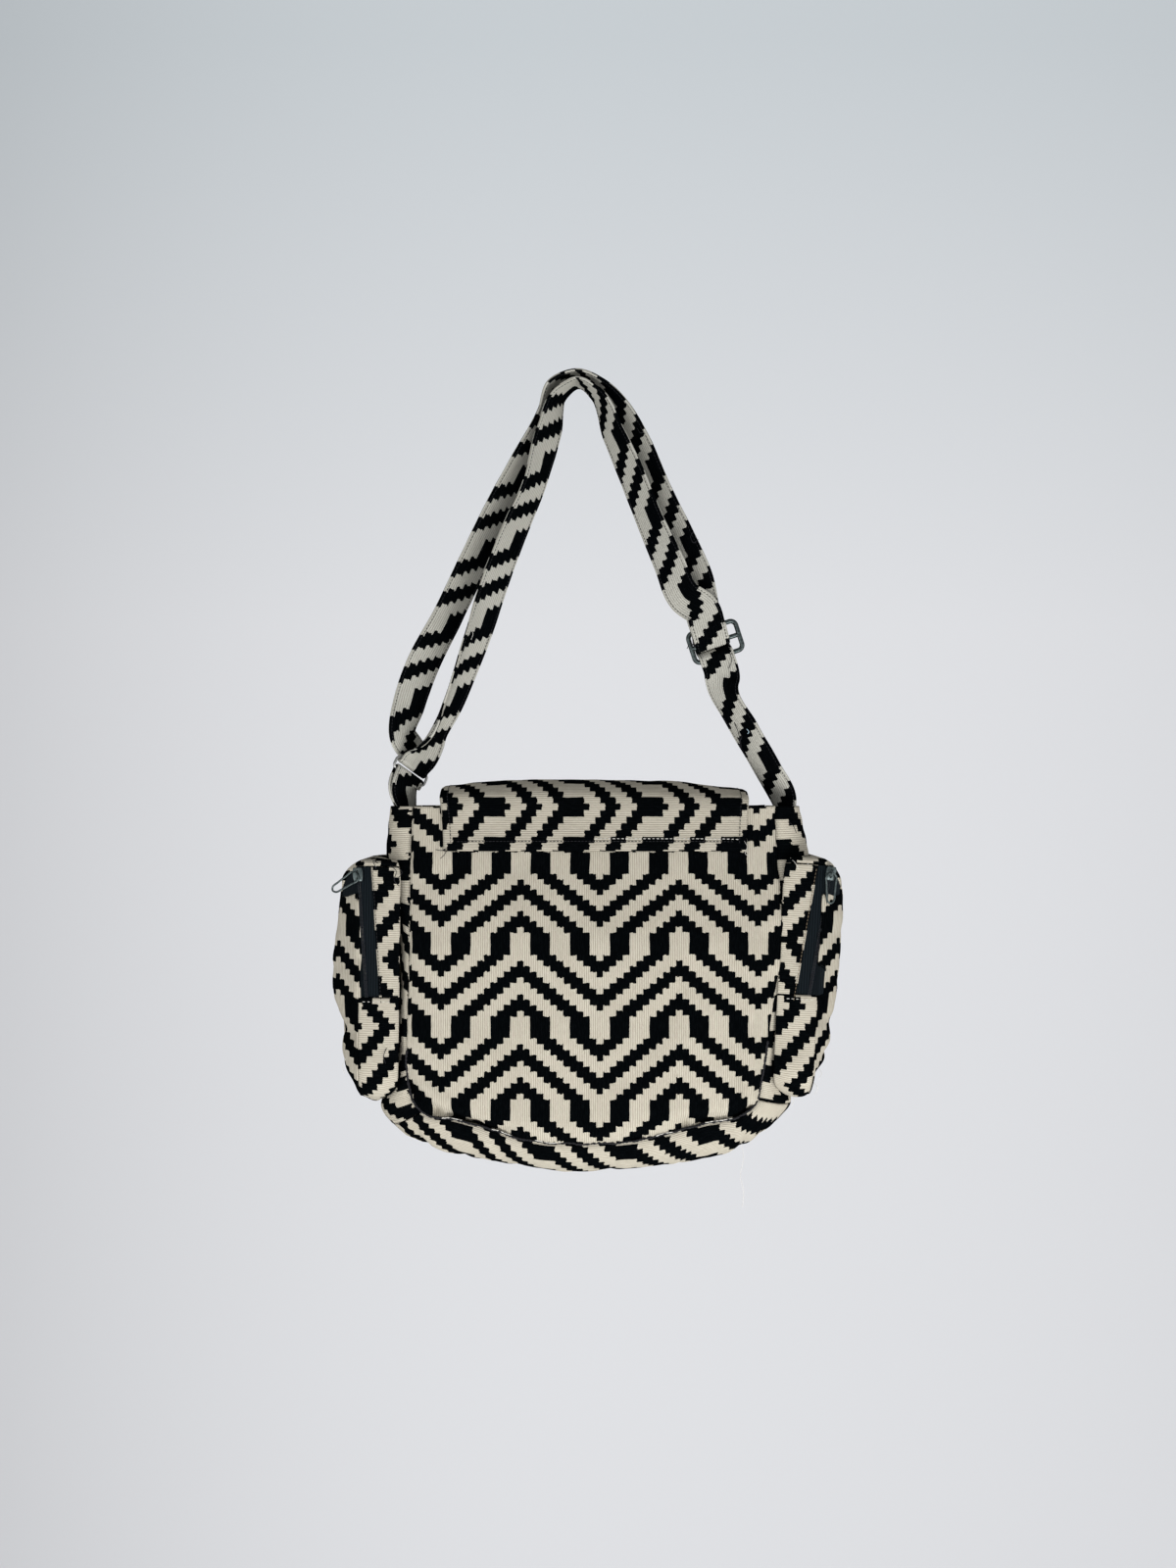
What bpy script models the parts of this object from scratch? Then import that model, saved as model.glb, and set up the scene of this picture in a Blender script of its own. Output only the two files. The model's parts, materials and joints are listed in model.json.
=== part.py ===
import math

import bmesh
import bpy
from mathutils import Matrix, Vector

# Shoulder bag with a flap, two zipped side pockets and a doubled strap. Metres, +Z up.
# X runs to the right across the back of the bag, which faces -Y.
# The origin is the point the strap hangs from, on the underside of its inner layer.

cloth = 0.0014
fit = 0.0003

# Bag body
strap_drop = 0.342
panel_top_width = 0.302
panel_top_centre = 0.013
panel_bottom_width = 0.291
panel_bottom_centre = 0.0045
panel_height = 0.264
bottom_sag = 0.0145
corner_reach = 0.034
mouth_half_depth = 0.030
body_half_depth = 0.040
depth_ramp = 0.45
panel_bulge = 0.006
gusset_bulge = 0.0205
gusset_bulge_at_pocket = 0.006
bulge_ramp = 0.024
gusset_joint_up = 0.020
gusset_facet = 0.008

# Flap
flap_gap = 0.0009
flap_inset = 0.0235
flap_shift = -0.002
flap_root_drop = 0.037
flap_rise = 0.020
flap_side_droop = 0.008
flap_length = 0.188
flap_corner = 0.028

# Pockets: p is measured out from the gusset seam, q along Y, r up the seam
pocket_half_height = 0.0965
pocket_half_depth = 0.0365
boxing_width = 0.0338
left_pocket_dome = 0.0245
right_pocket_dome = 0.0205
dome_power_low = 4.5
dome_power_high = 8.0
pocket_top_corner = 0.004
pocket_bottom_corner = 0.030
left_pocket_drop = 0.1394
right_pocket_drop = 0.1360

# Zips
tape_thickness = 0.0007
zip_line = 0.0330
coil_gap = 0.0022
tape_width = 0.0145
left_zip_lean = 0.064
right_zip_lean = 0.105
zip_bottom = -0.0115
zip_top = 0.0915
outer_tape_top = 0.50
outer_tape_low = 0.14
slider_up = 0.0855
slider_tilt = math.radians(6.0)
pull_pivot = 0.0037
pull_wire = 0.0006
pull_length = 0.023
pull_half_width = 0.0039
left_pull_swing = math.radians(61.0)
right_pull_swing = math.radians(8.0)

# Strap
strap_width = 0.029
strap_thickness = 0.0026
layer_gap = 0.0035
hang_turn = math.radians(66.0)
turn_fade = 0.042
arch_radius = 0.0125
strap_end_depth = 0.020
ring_up = 0.0285
ring_out = 0.0003
ring_wire = 0.0011
ring_half_height = 0.0048
adjuster_up = 0.1343
adjuster_in = 0.0535
adjuster_lean = math.radians(18.0)
adjuster_back = 0.004
adjuster_wire = 0.00125
bar_pitch = 0.0125
adjuster_half_length = 0.0190
adjuster_shift = 0.0022
tail_length = 0.024

# Offsets of the strap from its straight line: distance along it as a share, and metres outward
left_inner_bow = ((0.16, 0.0085), (0.32, 0.0030), (0.50, -0.0005), (0.68, -0.0045), (0.86, -0.0045))
left_spread = ((0.16, 0.005), (0.32, 0.012), (0.50, 0.024), (0.68, 0.031), (0.86, 0.028))
right_front_bow = ((0.19, 0.0070), (0.36, 0.0040), (0.54, 0.0000), (0.72, -0.0035))
right_spread = ((0.19, 0.0075), (0.36, 0.0090), (0.54, 0.0110), (0.72, 0.0125))
single_bow = ((0.28, -0.0090), (0.55, -0.0062), (0.80, -0.0010))

axis_x = Vector((1, 0, 0))
axis_y = Vector((0, 1, 0))
axis_z = Vector((0, 0, 1))


def clear_scene():
    for item in list(bpy.data.objects):
        bpy.data.objects.remove(item, do_unlink=True)


def smooth(value):
    value = min(1.0, max(0.0, value))
    return value * value * (3.0 - 2.0 * value)


def mix(a, b, t):
    return a + (b - a) * t


def material(name, colour, roughness, metallic=0.0):
    found = bpy.data.materials.get(name)
    if found:
        return found
    made = bpy.data.materials.new(name)
    made.use_nodes = True
    shader = made.node_tree.nodes["Principled BSDF"]
    shader.inputs["Base Color"].default_value = (*colour, 1.0)
    shader.inputs["Roughness"].default_value = roughness
    shader.inputs["Metallic"].default_value = metallic
    made.diffuse_color = (*colour, 1.0)
    return made


def panel_cloth():
    return material("ribbed_cotton", (0.32, 0.29, 0.24), 0.9)


def strap_cloth():
    return material("strap_cotton", (0.30, 0.27, 0.22), 0.9)


def tape_cloth():
    return material("zip_tape", (0.012, 0.014, 0.022), 0.8)


def slider_metal():
    return material("slider_gunmetal", (0.09, 0.10, 0.09), 0.4, 1.0)


def wire_metal():
    return material("wire_steel", (0.42, 0.41, 0.38), 0.35, 1.0)


def add_object(name, verts, faces, slot):
    mesh = bpy.data.meshes.new(name)
    mesh.from_pydata([tuple(v) for v in verts], [], faces)
    mesh.validate()
    made = bpy.data.objects.new(name, mesh)
    bpy.context.scene.collection.objects.link(made)
    made.data.materials.append(slot)
    return made


def face_outward(made, inside):
    # Cloth is thickened towards the inside, so the faces look away from it.
    mesh = made.data
    total = 0.0
    for face in mesh.polygons:
        total += face.normal.dot(face.center - inside) * face.area
    if total < 0:
        mesh.flip_normals()


def thicken(made, thickness, even=True):
    solid = made.modifiers.new("thickness", "SOLIDIFY")
    solid.thickness = thickness
    solid.offset = -1.0
    solid.use_even_offset = even
    solid.use_quality_normals = True


def grid_faces(rows, columns):
    faces = []
    for i in range(rows - 1):
        for j in range(columns - 1):
            a = i * columns + j
            faces.append((a, a + 1, a + columns + 1, a + columns))
    return faces


def cloth_grid(name, rows, slot, inside, thickness):
    verts = [point for row in rows for point in row]
    made = add_object(name, verts, grid_faces(len(rows), len(rows[0])), slot)
    face_outward(made, inside)
    thicken(made, thickness)
    return made


def cloth_rings(name, rings, centre, slot, inside, thickness, even=True):
    count = len(rings[0])
    verts = [point for ring in rings for point in ring]
    faces = []
    for i in range(len(rings) - 1):
        for j in range(count):
            k = (j + 1) % count
            faces.append((i * count + j, i * count + k, (i + 1) * count + k, (i + 1) * count + j))
    last = (len(rings) - 1) * count
    verts.append(centre)
    for j in range(count):
        faces.append((last + j, last + (j + 1) % count, len(verts) - 1))
    made = add_object(name, verts, faces, slot)
    face_outward(made, inside)
    thicken(made, thickness, even)
    return made


def close_solid(made):
    work = bmesh.new()
    work.from_mesh(made.data)
    bmesh.ops.recalc_face_normals(work, faces=work.faces)
    if work.calc_volume(signed=True) < 0:
        bmesh.ops.reverse_faces(work, faces=work.faces)
    work.to_mesh(made.data)
    work.free()


# Body outline: x and z of the seam between panel and gusset, left mouth to right mouth

mouth_z = -strap_drop
body_inside = Vector((panel_bottom_centre, 0.0, mouth_z - panel_height * 0.5))


def centre_at(z):
    return mix(panel_top_centre, panel_bottom_centre, (mouth_z - z) / panel_height)


def half_width_at(z):
    return mix(panel_top_width, panel_bottom_width, (mouth_z - z) / panel_height) * 0.5


def seam_x(side, z):
    return centre_at(z) + side * half_width_at(z)


def bezier(a, b, c, t):
    return a * (1 - t) ** 2 + b * (2 * t * (1 - t)) + c * t * t


def outline_curve():
    points = []
    floor_z = mouth_z - panel_height
    for side in (-1, 1):
        start_z = floor_z + corner_reach
        start = Vector((seam_x(side, start_z), 0, start_z))
        corner = Vector((seam_x(side, floor_z), 0, floor_z))
        foot = corner - axis_x * side * corner_reach - axis_z * bottom_sag * 0.42
        half = [Vector((seam_x(side, mix(mouth_z, start_z, i / 20)), 0, mix(mouth_z, start_z, i / 20)))
                for i in range(20)]
        half += [bezier(start, corner, foot, i / 12) for i in range(12)]
        low = Vector((panel_bottom_centre, 0, floor_z - bottom_sag))
        side_of_low = low + axis_x * side * (half_width_at(floor_z) - corner_reach) * 0.5
        half += [bezier(foot, side_of_low, low, i / 14) for i in range(14)]
        points.append(half + [low])
    return points[0] + points[1][-2::-1]


def resample(points, count):
    lengths = [0.0]
    for a, b in zip(points, points[1:]):
        lengths.append(lengths[-1] + (b - a).length)
    result = []
    k = 0
    for i in range(count):
        goal = lengths[-1] * i / (count - 1)
        while k < len(points) - 2 and lengths[k + 1] < goal:
            k += 1
        span = lengths[k + 1] - lengths[k]
        result.append(points[k].lerp(points[k + 1], (goal - lengths[k]) / span))
    return result


def outward_normals(points):
    normals = []
    for i in range(len(points)):
        ahead = points[min(i + 1, len(points) - 1)] - points[max(i - 1, 0)]
        normals.append(Vector((ahead.z, 0, -ahead.x)).normalized())
    return normals


def half_depth(x, z):
    down = smooth((mouth_z - z) / (panel_height * depth_ramp))
    across = (x - centre_at(z)) / half_width_at(z)
    swell = panel_bulge * max(0.0, 1.0 - across * across)
    return mouth_half_depth + (body_half_depth - mouth_half_depth + swell) * down


def bulge_at(z):
    top = mouth_z - left_pocket_drop + pocket_half_height
    bottom = mouth_z - left_pocket_drop - pocket_half_height
    above = smooth((z - top) / bulge_ramp - 0.25)
    below = smooth((bottom - z) / bulge_ramp + 0.45)
    return mix(gusset_bulge_at_pocket, gusset_bulge, max(above, below))


def panel(name, side):
    seam = resample(outline_curve(), 40)
    left = seam[0]
    right = seam[-1]
    top_edge = [right.lerp(left, i / 12) for i in range(1, 12)]
    outer = seam + top_edge
    middle = Vector((centre_at(mouth_z - panel_height * 0.5), 0, mouth_z - panel_height * 0.5))
    rings = []
    for share in (1.0, 0.94, 0.84, 0.68, 0.46, 0.22):
        ring = []
        for point in outer:
            p = middle.lerp(point, share)
            ring.append(Vector((p.x, side * half_depth(p.x, p.z), p.z)))
        rings.append(ring)
    centre = Vector((middle.x, side * half_depth(middle.x, middle.z), middle.z))
    return cloth_rings(name, rings, centre, panel_cloth(), body_inside, cloth)


def gusset(name, first, last):
    # The strip between the panels, from one height or side of the seam to another.
    seam = resample(outline_curve(), 400)
    normals = outward_normals(seam)
    picked = [i for i in range(400) if first(seam[i]) and last(seam[i])]
    steps = 18
    rows = []
    for step in range(steps + 1):
        i = picked[round((len(picked) - 1) * step / steps)]
        p, n = seam[i], normals[i]
        reach = half_depth(p.x, p.z) - cloth - fit
        row = []
        for j in range(9):
            s = -1.0 + j / 4.0
            rise = bulge_at(p.z) * (1.0 - s * s)
            row.append(Vector((p.x + n.x * rise, s * reach, p.z + n.z * rise)))
        rows.append(row)
    return cloth_grid(name, rows, panel_cloth(), body_inside, cloth)


def body():
    panel("back_panel", -1)
    panel("front_panel", 1)
    joint_z = mouth_z - panel_height + gusset_joint_up
    middle = panel_bottom_centre
    gap = fit + 0.0012
    gusset("gusset_left", lambda p: p.x < middle, lambda p: p.z > joint_z + gap)
    gusset("gusset_bottom", lambda p: True, lambda p: p.z < joint_z - gap)
    gusset("gusset_right", lambda p: p.x > middle, lambda p: p.z > joint_z + gap)


def flap():
    rows = []
    offset = flap_gap + cloth
    shares = [-0.999, -0.975, -0.93, -0.78, -0.52, -0.26, 0.0, 0.26, 0.52, 0.78, 0.93, 0.975, 0.999]
    half = panel_top_width * 0.5 - flap_inset
    flap_centre = panel_top_centre + flap_shift

    def column(share):
        x = flap_centre + share * half
        line = []
        for i in range(3):
            z = mouth_z - flap_root_drop * (1.0 - i / 3.0)
            line.append(Vector((x, -half_depth(x, z) - offset, z)))
        rise = flap_rise - flap_side_droop * share * share
        for i in range(9):
            angle = math.pi * i / 8.0
            reach = mouth_half_depth + offset
            line.append(Vector((x, -reach * math.cos(angle), mouth_z + rise * math.sin(angle))))
        over = max(0.0, abs(share) * half - (half - flap_corner))
        end_z = mouth_z - flap_length + flap_corner - math.sqrt(max(0.0, flap_corner ** 2 - over ** 2))
        for i in range(1, 9):
            z = mix(mouth_z, end_z, i / 8.0)
            line.append(Vector((x, half_depth(x, z) + offset, z)))
        return line

    for share in shares:
        rows.append(column(share))
    cloth_grid("flap", rows, panel_cloth(), body_inside, cloth)


# Side pockets


class PocketFrame:
    def __init__(self, side, drop, dome, lean):
        self.dome = dome
        self.lean = lean
        z = mouth_z - drop
        low = Vector((seam_x(side, z - 0.1), 0, z - 0.1))
        high = Vector((seam_x(side, z + 0.1), 0, z + 0.1))
        self.side = side
        self.middle = Vector((seam_x(side, z), 0, z))
        self.up = (high - low).normalized()
        self.out = Vector((self.up.z, 0, -self.up.x)) * side
        self.inside = self.place(boxing_width * 0.5, 0.0, 0.0)

    def place(self, p, q, r):
        return self.middle + self.out * p + axis_y * q + self.up * r

    def zip_at(self, r):
        # The zip runs nearer the gusset towards its foot.
        return zip_line - self.lean * (slider_up - r)

    def base(self, q, r):
        # Distance from the seam at which a pocket piece clears the gusset.
        at = self.place(0.0, q, r)
        reach = half_depth(seam_x(self.side, at.z), at.z) - cloth - fit
        nearest = max(bulge_at(at.z + gusset_facet * share) for share in (-1.0, -0.5, 0.0, 0.5, 1.0))
        return nearest * max(0.0, 1.0 - (q / reach) ** 2) + 3.0 * fit


def pocket_loop():
    # q and r round the pocket, from the foot of the zip down, round and back to its head.
    points = []
    h, d = pocket_half_height, pocket_half_depth
    low, top = pocket_bottom_corner, pocket_top_corner
    points += [(-d, mix(zip_bottom - 0.0005, -h + low, i / 3.0)) for i in range(3)]
    for i in range(7):
        a = math.pi / 2 * i / 6.0
        points.append((-d + low - low * math.cos(a), -h + low - low * math.sin(a)))
    for i in range(7):
        a = math.pi / 2 * i / 6.0
        points.append((d - low + low * math.sin(a), -h + low - low * math.cos(a)))
    points += [(d, mix(-h + low, h - top, i / 7.0)) for i in range(1, 7)]
    for i in range(4):
        a = math.pi / 2 * i / 3.0
        points.append((d - top + top * math.cos(a), h - top + top * math.sin(a)))
    points += [(mix(d - top, -d + top, i / 4.0), h) for i in range(1, 4)]
    for i in range(4):
        a = math.pi / 2 * i / 3.0
        points.append((-d + top - top * math.sin(a), h - top + top * math.cos(a)))
    return points


def boxing(name, frame):
    rows = []
    for q, r in pocket_loop():
        base = frame.base(q, r)
        rows.append([frame.place(mix(base, boxing_width, j / 2.0), q, r) for j in range(3)])
    return cloth_grid(name, rows, panel_cloth(), frame.inside, cloth)


def dome_power(r):
    return mix(dome_power_low, dome_power_high, smooth((r + 0.035) / 0.045))


def dome_point(frame, q, r, share):
    shrink = 1.0 - (1.0 - share) * pocket_half_depth / pocket_half_height
    rise = frame.dome * (1.0 - share ** dome_power(r))
    return frame.place(boxing_width + 3.0 * fit + rise, q * share, r * shrink)


def tape_edge(frame, r, extra=0.0):
    # Share of the dome at which the outer half of the zip tape ends.
    rise = mix(outer_tape_low, outer_tape_top, smooth((r - 0.030) / 0.050)) + extra / frame.dome
    return (1.0 - rise) ** (1.0 / dome_power(r))


def zip_rows(count):
    return [mix(zip_top, zip_bottom, i / (count - 1)) for i in range(count)]


def pocket_face(name, frame):
    outline = [(q, r, 1.0) for q, r in pocket_loop()]
    head = (-pocket_half_depth, zip_top + fit)
    foot = (-pocket_half_depth, zip_bottom - fit)
    clear = 2.0 * fit
    cut = [(head[0], head[1], tape_edge(frame, head[1], clear))]
    for r in zip_rows(11)[1:-1]:
        cut.append((head[0], r, tape_edge(frame, r, clear)))
    cut.append((foot[0], foot[1], tape_edge(frame, foot[1], clear)))
    outline[0] = (outline[0][0], zip_bottom - 0.002, 1.0)
    outline += cut
    rings = []
    for level in (1.0, 0.92, 0.80, 0.60, 0.30):
        ring = []
        for q, r, start in outline:
            ring.append(dome_point(frame, q, r, level * mix(1.0, start, level)))
        rings.append(ring)
    centre = dome_point(frame, 0.0, 0.0, 0.01)
    return cloth_rings(name, rings, centre, panel_cloth(), frame.inside, cloth, even=False)


def zip_halves(side_name, frame):
    half_gap = coil_gap * 0.5
    strip, inner, outer = [], [], []
    for r in zip_rows(11):
        base = frame.base(-pocket_half_depth, r)
        line = frame.zip_at(r)
        seam = line - tape_width
        strip.append([frame.place(mix(base, seam, j / 2.0), -pocket_half_depth, r) for j in range(3)])
        inner.append([frame.place(mix(seam + fit, line - half_gap, j / 2.0), -pocket_half_depth, r)
                      for j in range(3)])
        end = tape_edge(frame, r)
        flat = [frame.place(mix(line + half_gap, boxing_width + 2.0 * fit, j / 2.0), -pocket_half_depth, r)
                for j in range(3)]
        dome = [dome_point(frame, -pocket_half_depth, r, mix(1.0, end, j / 4.0)) for j in range(5)]
        outer.append(flat + dome)
    cloth_grid(side_name + "_zip_strip", strip, panel_cloth(), frame.inside, cloth)
    cloth_grid(side_name + "_zip_tape_inner", inner, tape_cloth(), frame.inside, tape_thickness)
    cloth_grid(side_name + "_zip_tape_outer", outer, tape_cloth(), frame.inside, tape_thickness)


def prism(name, outline, low, high, slot):
    count = len(outline)
    verts = [Vector((x, y, low)) for x, y in outline] + [Vector((x, y, high)) for x, y in outline]
    faces = [tuple(range(count))[::-1], tuple(range(count, 2 * count))]
    for i in range(count):
        j = (i + 1) % count
        faces.append((i, j, count + j, count + i))
    made = add_object(name, verts, faces, slot)
    close_solid(made)
    return made


def block(name, x, y, z, slot):
    outline = [(x[0], y[0]), (x[1], y[0]), (x[1], y[1]), (x[0], y[1])]
    return prism(name, outline, z[0], z[1], slot)


def unite(base, others):
    for other in others:
        join = base.modifiers.new("join", "BOOLEAN")
        join.operation = "UNION"
        join.solver = "EXACT"
        join.object = other
    bpy.context.view_layer.update()
    graph = bpy.context.evaluated_depsgraph_get()
    mesh = bpy.data.meshes.new_from_object(base.evaluated_get(graph))
    base.modifiers.clear()
    base.data = mesh
    for other in others:
        bpy.data.objects.remove(other, do_unlink=True)
    return base


def slider_matrix(frame):
    along = (frame.up + frame.out * frame.lean).normalized()
    beside = (frame.out - frame.up * frame.lean).normalized()
    out = beside * math.cos(slider_tilt) + axis_y * math.sin(slider_tilt)
    lift = -axis_y * math.cos(slider_tilt) + beside * math.sin(slider_tilt)
    origin = frame.place(zip_line, -pocket_half_depth, slider_up)
    turn = Matrix((out * frame.side, along, lift)).transposed().to_4x4()
    return Matrix.Translation(origin) @ turn


def slider(name, frame):
    metal = slider_metal()
    half = ((0.0038, -0.0055), (0.0045, -0.0015), (0.0047, 0.0035), (0.0036, 0.0055))
    wide = [(w, y) for w, y in half] + [(-w, y) for w, y in reversed(half)]
    narrow = [(w * 0.86, y) for w, y in wide]
    top = prism(name, wide, 0.0016, 0.0028, metal)
    parts = [prism("bottom", narrow, -0.0034, -0.0022, metal),
             block("neck", (-0.0008, 0.0008), (0.0034, 0.0050), (-0.0030, 0.0024), metal)]
    for end in (-0.0029, 0.0029):
        parts.append(block("leg", (-0.0005, 0.0005), (end - 0.00035, end + 0.00035),
                           (0.0024, 0.0052), metal))
    parts.append(block("bridge", (-0.0006, 0.0006), (-0.0033, 0.0033), (0.0046, 0.0054), metal))
    made = unite(top, parts)
    made.matrix_world = slider_matrix(frame)
    return made


def tube(name, path, normal, radius, sides, slot):
    # Wire along a closed flat path.
    count = len(path)
    verts, faces = [], []
    for i, point in enumerate(path):
        ahead = (path[(i + 1) % count] - path[i - 1]).normalized()
        across = ahead.cross(normal).normalized()
        for j in range(sides):
            a = 2 * math.pi * j / sides
            verts.append(point + across * radius * math.cos(a) + normal * radius * math.sin(a))
    for i in range(count):
        k = (i + 1) % count
        for j in range(sides):
            m = (j + 1) % sides
            faces.append((i * sides + j, i * sides + m, k * sides + m, k * sides + j))
    made = add_object(name, verts, faces, slot)
    close_solid(made)
    for face in made.data.polygons:
        face.use_smooth = True
    return made


def pull(name, frame, swing):
    # Long wire loop; its straight end lies across the slider under the bridge.
    tip = 0.0026
    corner = 0.0010
    wide = pull_half_width
    path = [Vector((x, 0, 0)) for x in (-wide + corner, 0.0, wide - corner)]
    path += [Vector((wide - corner + corner * math.sin(a), -corner + corner * math.cos(a), 0))
             for a in (math.radians(d) for d in (30, 60, 90))]
    straight = pull_length - tip
    path += [Vector((mix(wide, tip, t), -mix(corner, straight, t), 0)) for t in (0.33, 0.67)]
    path += [Vector((tip * math.cos(a), -straight - tip * math.sin(a), 0))
             for a in (math.radians(d) for d in range(0, 181, 30))]
    path += [Vector((-mix(tip, wide, t), -mix(straight, corner, t), 0)) for t in (0.33, 0.67)]
    path += [Vector((-wide + corner - corner * math.cos(a), -corner + corner * math.sin(a), 0))
             for a in (math.radians(d) for d in (0, 30, 60))]
    made = tube(name, path, axis_z, pull_wire, 8, slider_metal())
    place = slider_matrix(frame) @ Matrix.Translation((0, 0, pull_pivot))
    made.matrix_world = place @ Matrix.Rotation(swing, 4, "Z")
    return made


def pocket(side_name, side, drop, dome, lean, swing):
    frame = PocketFrame(side, drop, dome, lean)
    boxing(side_name + "_pocket_boxing", frame)
    pocket_face(side_name + "_pocket_face", frame)
    zip_halves(side_name, frame)
    slider(side_name + "_zip_slider", frame)
    pull(side_name + "_zip_pull", frame, swing)


# Strap, its tab, ring and adjuster


def spline(stations, steps):
    # Smooth path through (point, width direction) stations.
    points, widths = [], []
    count = len(stations)
    for i in range(count - 1):
        p0 = stations[max(i - 1, 0)]
        p1, p2 = stations[i], stations[i + 1]
        p3 = stations[min(i + 2, count - 1)]
        length = (p2[0] - p1[0]).length
        pieces = max(1, min(steps, round(length / 0.012)))
        before = max((p1[0] - p0[0]).length, 1e-6)
        after = max((p3[0] - p2[0]).length, 1e-6)
        m1 = slope(p0[0], p1[0], p2[0], before, length) if i else p2[0] - p1[0]
        m2 = slope(p1[0], p2[0], p3[0], length, after, second=True) if i < count - 2 else p2[0] - p1[0]
        for j in range(pieces):
            t = j / pieces
            points.append(hermite(p1[0], m1, p2[0], m2, t))
            widths.append(p1[1].lerp(p2[1], smooth(t) * 0.5 + t * 0.5))
    points.append(stations[-1][0])
    widths.append(stations[-1][1])
    return points, widths


def slope(a, b, c, before, after, second=False):
    # Tangent at b, scaled to the piece on whose end it is used.
    rate = ((b - a) / before * after + (c - b) / after * before) / (before + after)
    return rate * (before if second else after)


def hermite(p1, m1, p2, m2, t):
    a = 2 * t ** 3 - 3 * t ** 2 + 1
    b = t ** 3 - 2 * t ** 2 + t
    c = -2 * t ** 3 + 3 * t ** 2
    d = t ** 3 - t ** 2
    return p1 * a + m1 * b + p2 * c + m2 * d


def belt(name, stations, width, thickness, slot):
    points, widths = spline(stations, 4)
    verts, faces = [], []
    count = len(points)
    for i in range(count):
        ahead = (points[min(i + 1, count - 1)] - points[max(i - 1, 0)]).normalized()
        across = (widths[i] - ahead * widths[i].dot(ahead)).normalized()
        normal = ahead.cross(across)
        for a, b in ((-1, -1), (1, -1), (1, 1), (-1, 1)):
            verts.append(points[i] + across * a * width * 0.5 + normal * b * thickness * 0.5)
    for i in range(count - 1):
        for j in range(4):
            k = (j + 1) % 4
            faces.append((i * 4 + j, i * 4 + k, i * 4 + 4 + k, i * 4 + 4 + j))
    faces.append((3, 2, 1, 0))
    end = (count - 1) * 4
    faces.append((end, end + 1, end + 2, end + 3))
    made = add_object(name, verts, faces, slot)
    close_solid(made)
    return made


def turned(outward, angle):
    # Width direction and face direction of a strap layer turned about its own length.
    across = outward * math.cos(angle) - axis_y * math.sin(angle)
    face = axis_y * math.cos(angle) + outward * math.sin(angle)
    return across, face


def layer_pair(base, outward, angle, spread):
    across, face = turned(outward, angle)
    front = base - face * layer_gap * 0.5
    rear = base + face * layer_gap * 0.5 + across * spread
    return (front, across), (rear, across)


def run_stations(start, end, bows, spreads):
    # Front and rear stations down one side, from the hang point to an anchor.
    chord = end - start
    ahead = chord.normalized()
    outward = Vector((-ahead.z, 0, ahead.x))
    if outward.x * ahead.x < 0:
        outward = -outward
    front, rear = [], []
    for (share, bow), (_, spread) in zip(bows, spreads):
        base = start + chord * share + outward * bow
        angle = hang_turn * smooth(1.0 + base.z / turn_fade)
        a, b = layer_pair(base, outward, angle, spread)
        front.append(a)
        rear.append(b)
    return front, rear


def arch_stations():
    top = (layer_gap * 0.5 + strap_thickness * 0.5) * math.sin(hang_turn)
    centre = Vector((0, 0, top - arch_radius))
    front, rear = [], []
    for degrees in (-62, -31, 0, 31, 62):
        a = math.radians(degrees)
        outward = Vector((math.sin(a), 0, math.cos(a)))
        base = centre + outward * arch_radius
        angle = hang_turn * smooth(1.0 + base.z / turn_fade)
        f, r = layer_pair(base, outward, angle, 0.003)
        front.append(f)
        rear.append(r)
    return front, rear


class RingFrame:
    def __init__(self):
        self.along = Vector((0.62, 0.60, -0.50)).normalized()
        self.normal = Vector((0.60, -0.62, 0.0)).normalized()
        self.up = self.normal.cross(self.along).normalized()
        if self.up.z < 0:
            self.up = -self.up
        self.middle = Vector((seam_x(-1, mouth_z) + ring_out, 0, mouth_z + ring_up))
        self.upper = self.middle + self.up * ring_half_height
        self.lower = self.middle - self.up * ring_half_height


class AdjusterFrame:
    def __init__(self):
        self.up = Vector((-math.sin(adjuster_lean), 0, math.cos(adjuster_lean)))
        self.along = Vector((math.cos(adjuster_lean), 0, math.sin(adjuster_lean)))
        anchor_x = seam_x(1, mouth_z) + 0.004
        self.middle = Vector((anchor_x - adjuster_in - 0.0035, adjuster_back, mouth_z + adjuster_up))

    def place(self, up, back):
        return self.middle + self.up * up + axis_y * back


def arc_stations(centre, a, b, radius, across, degrees):
    found = []
    for d in degrees:
        t = math.radians(d)
        found.append((centre + a * radius * math.cos(t) + b * radius * math.sin(t), across))
    return found


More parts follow.
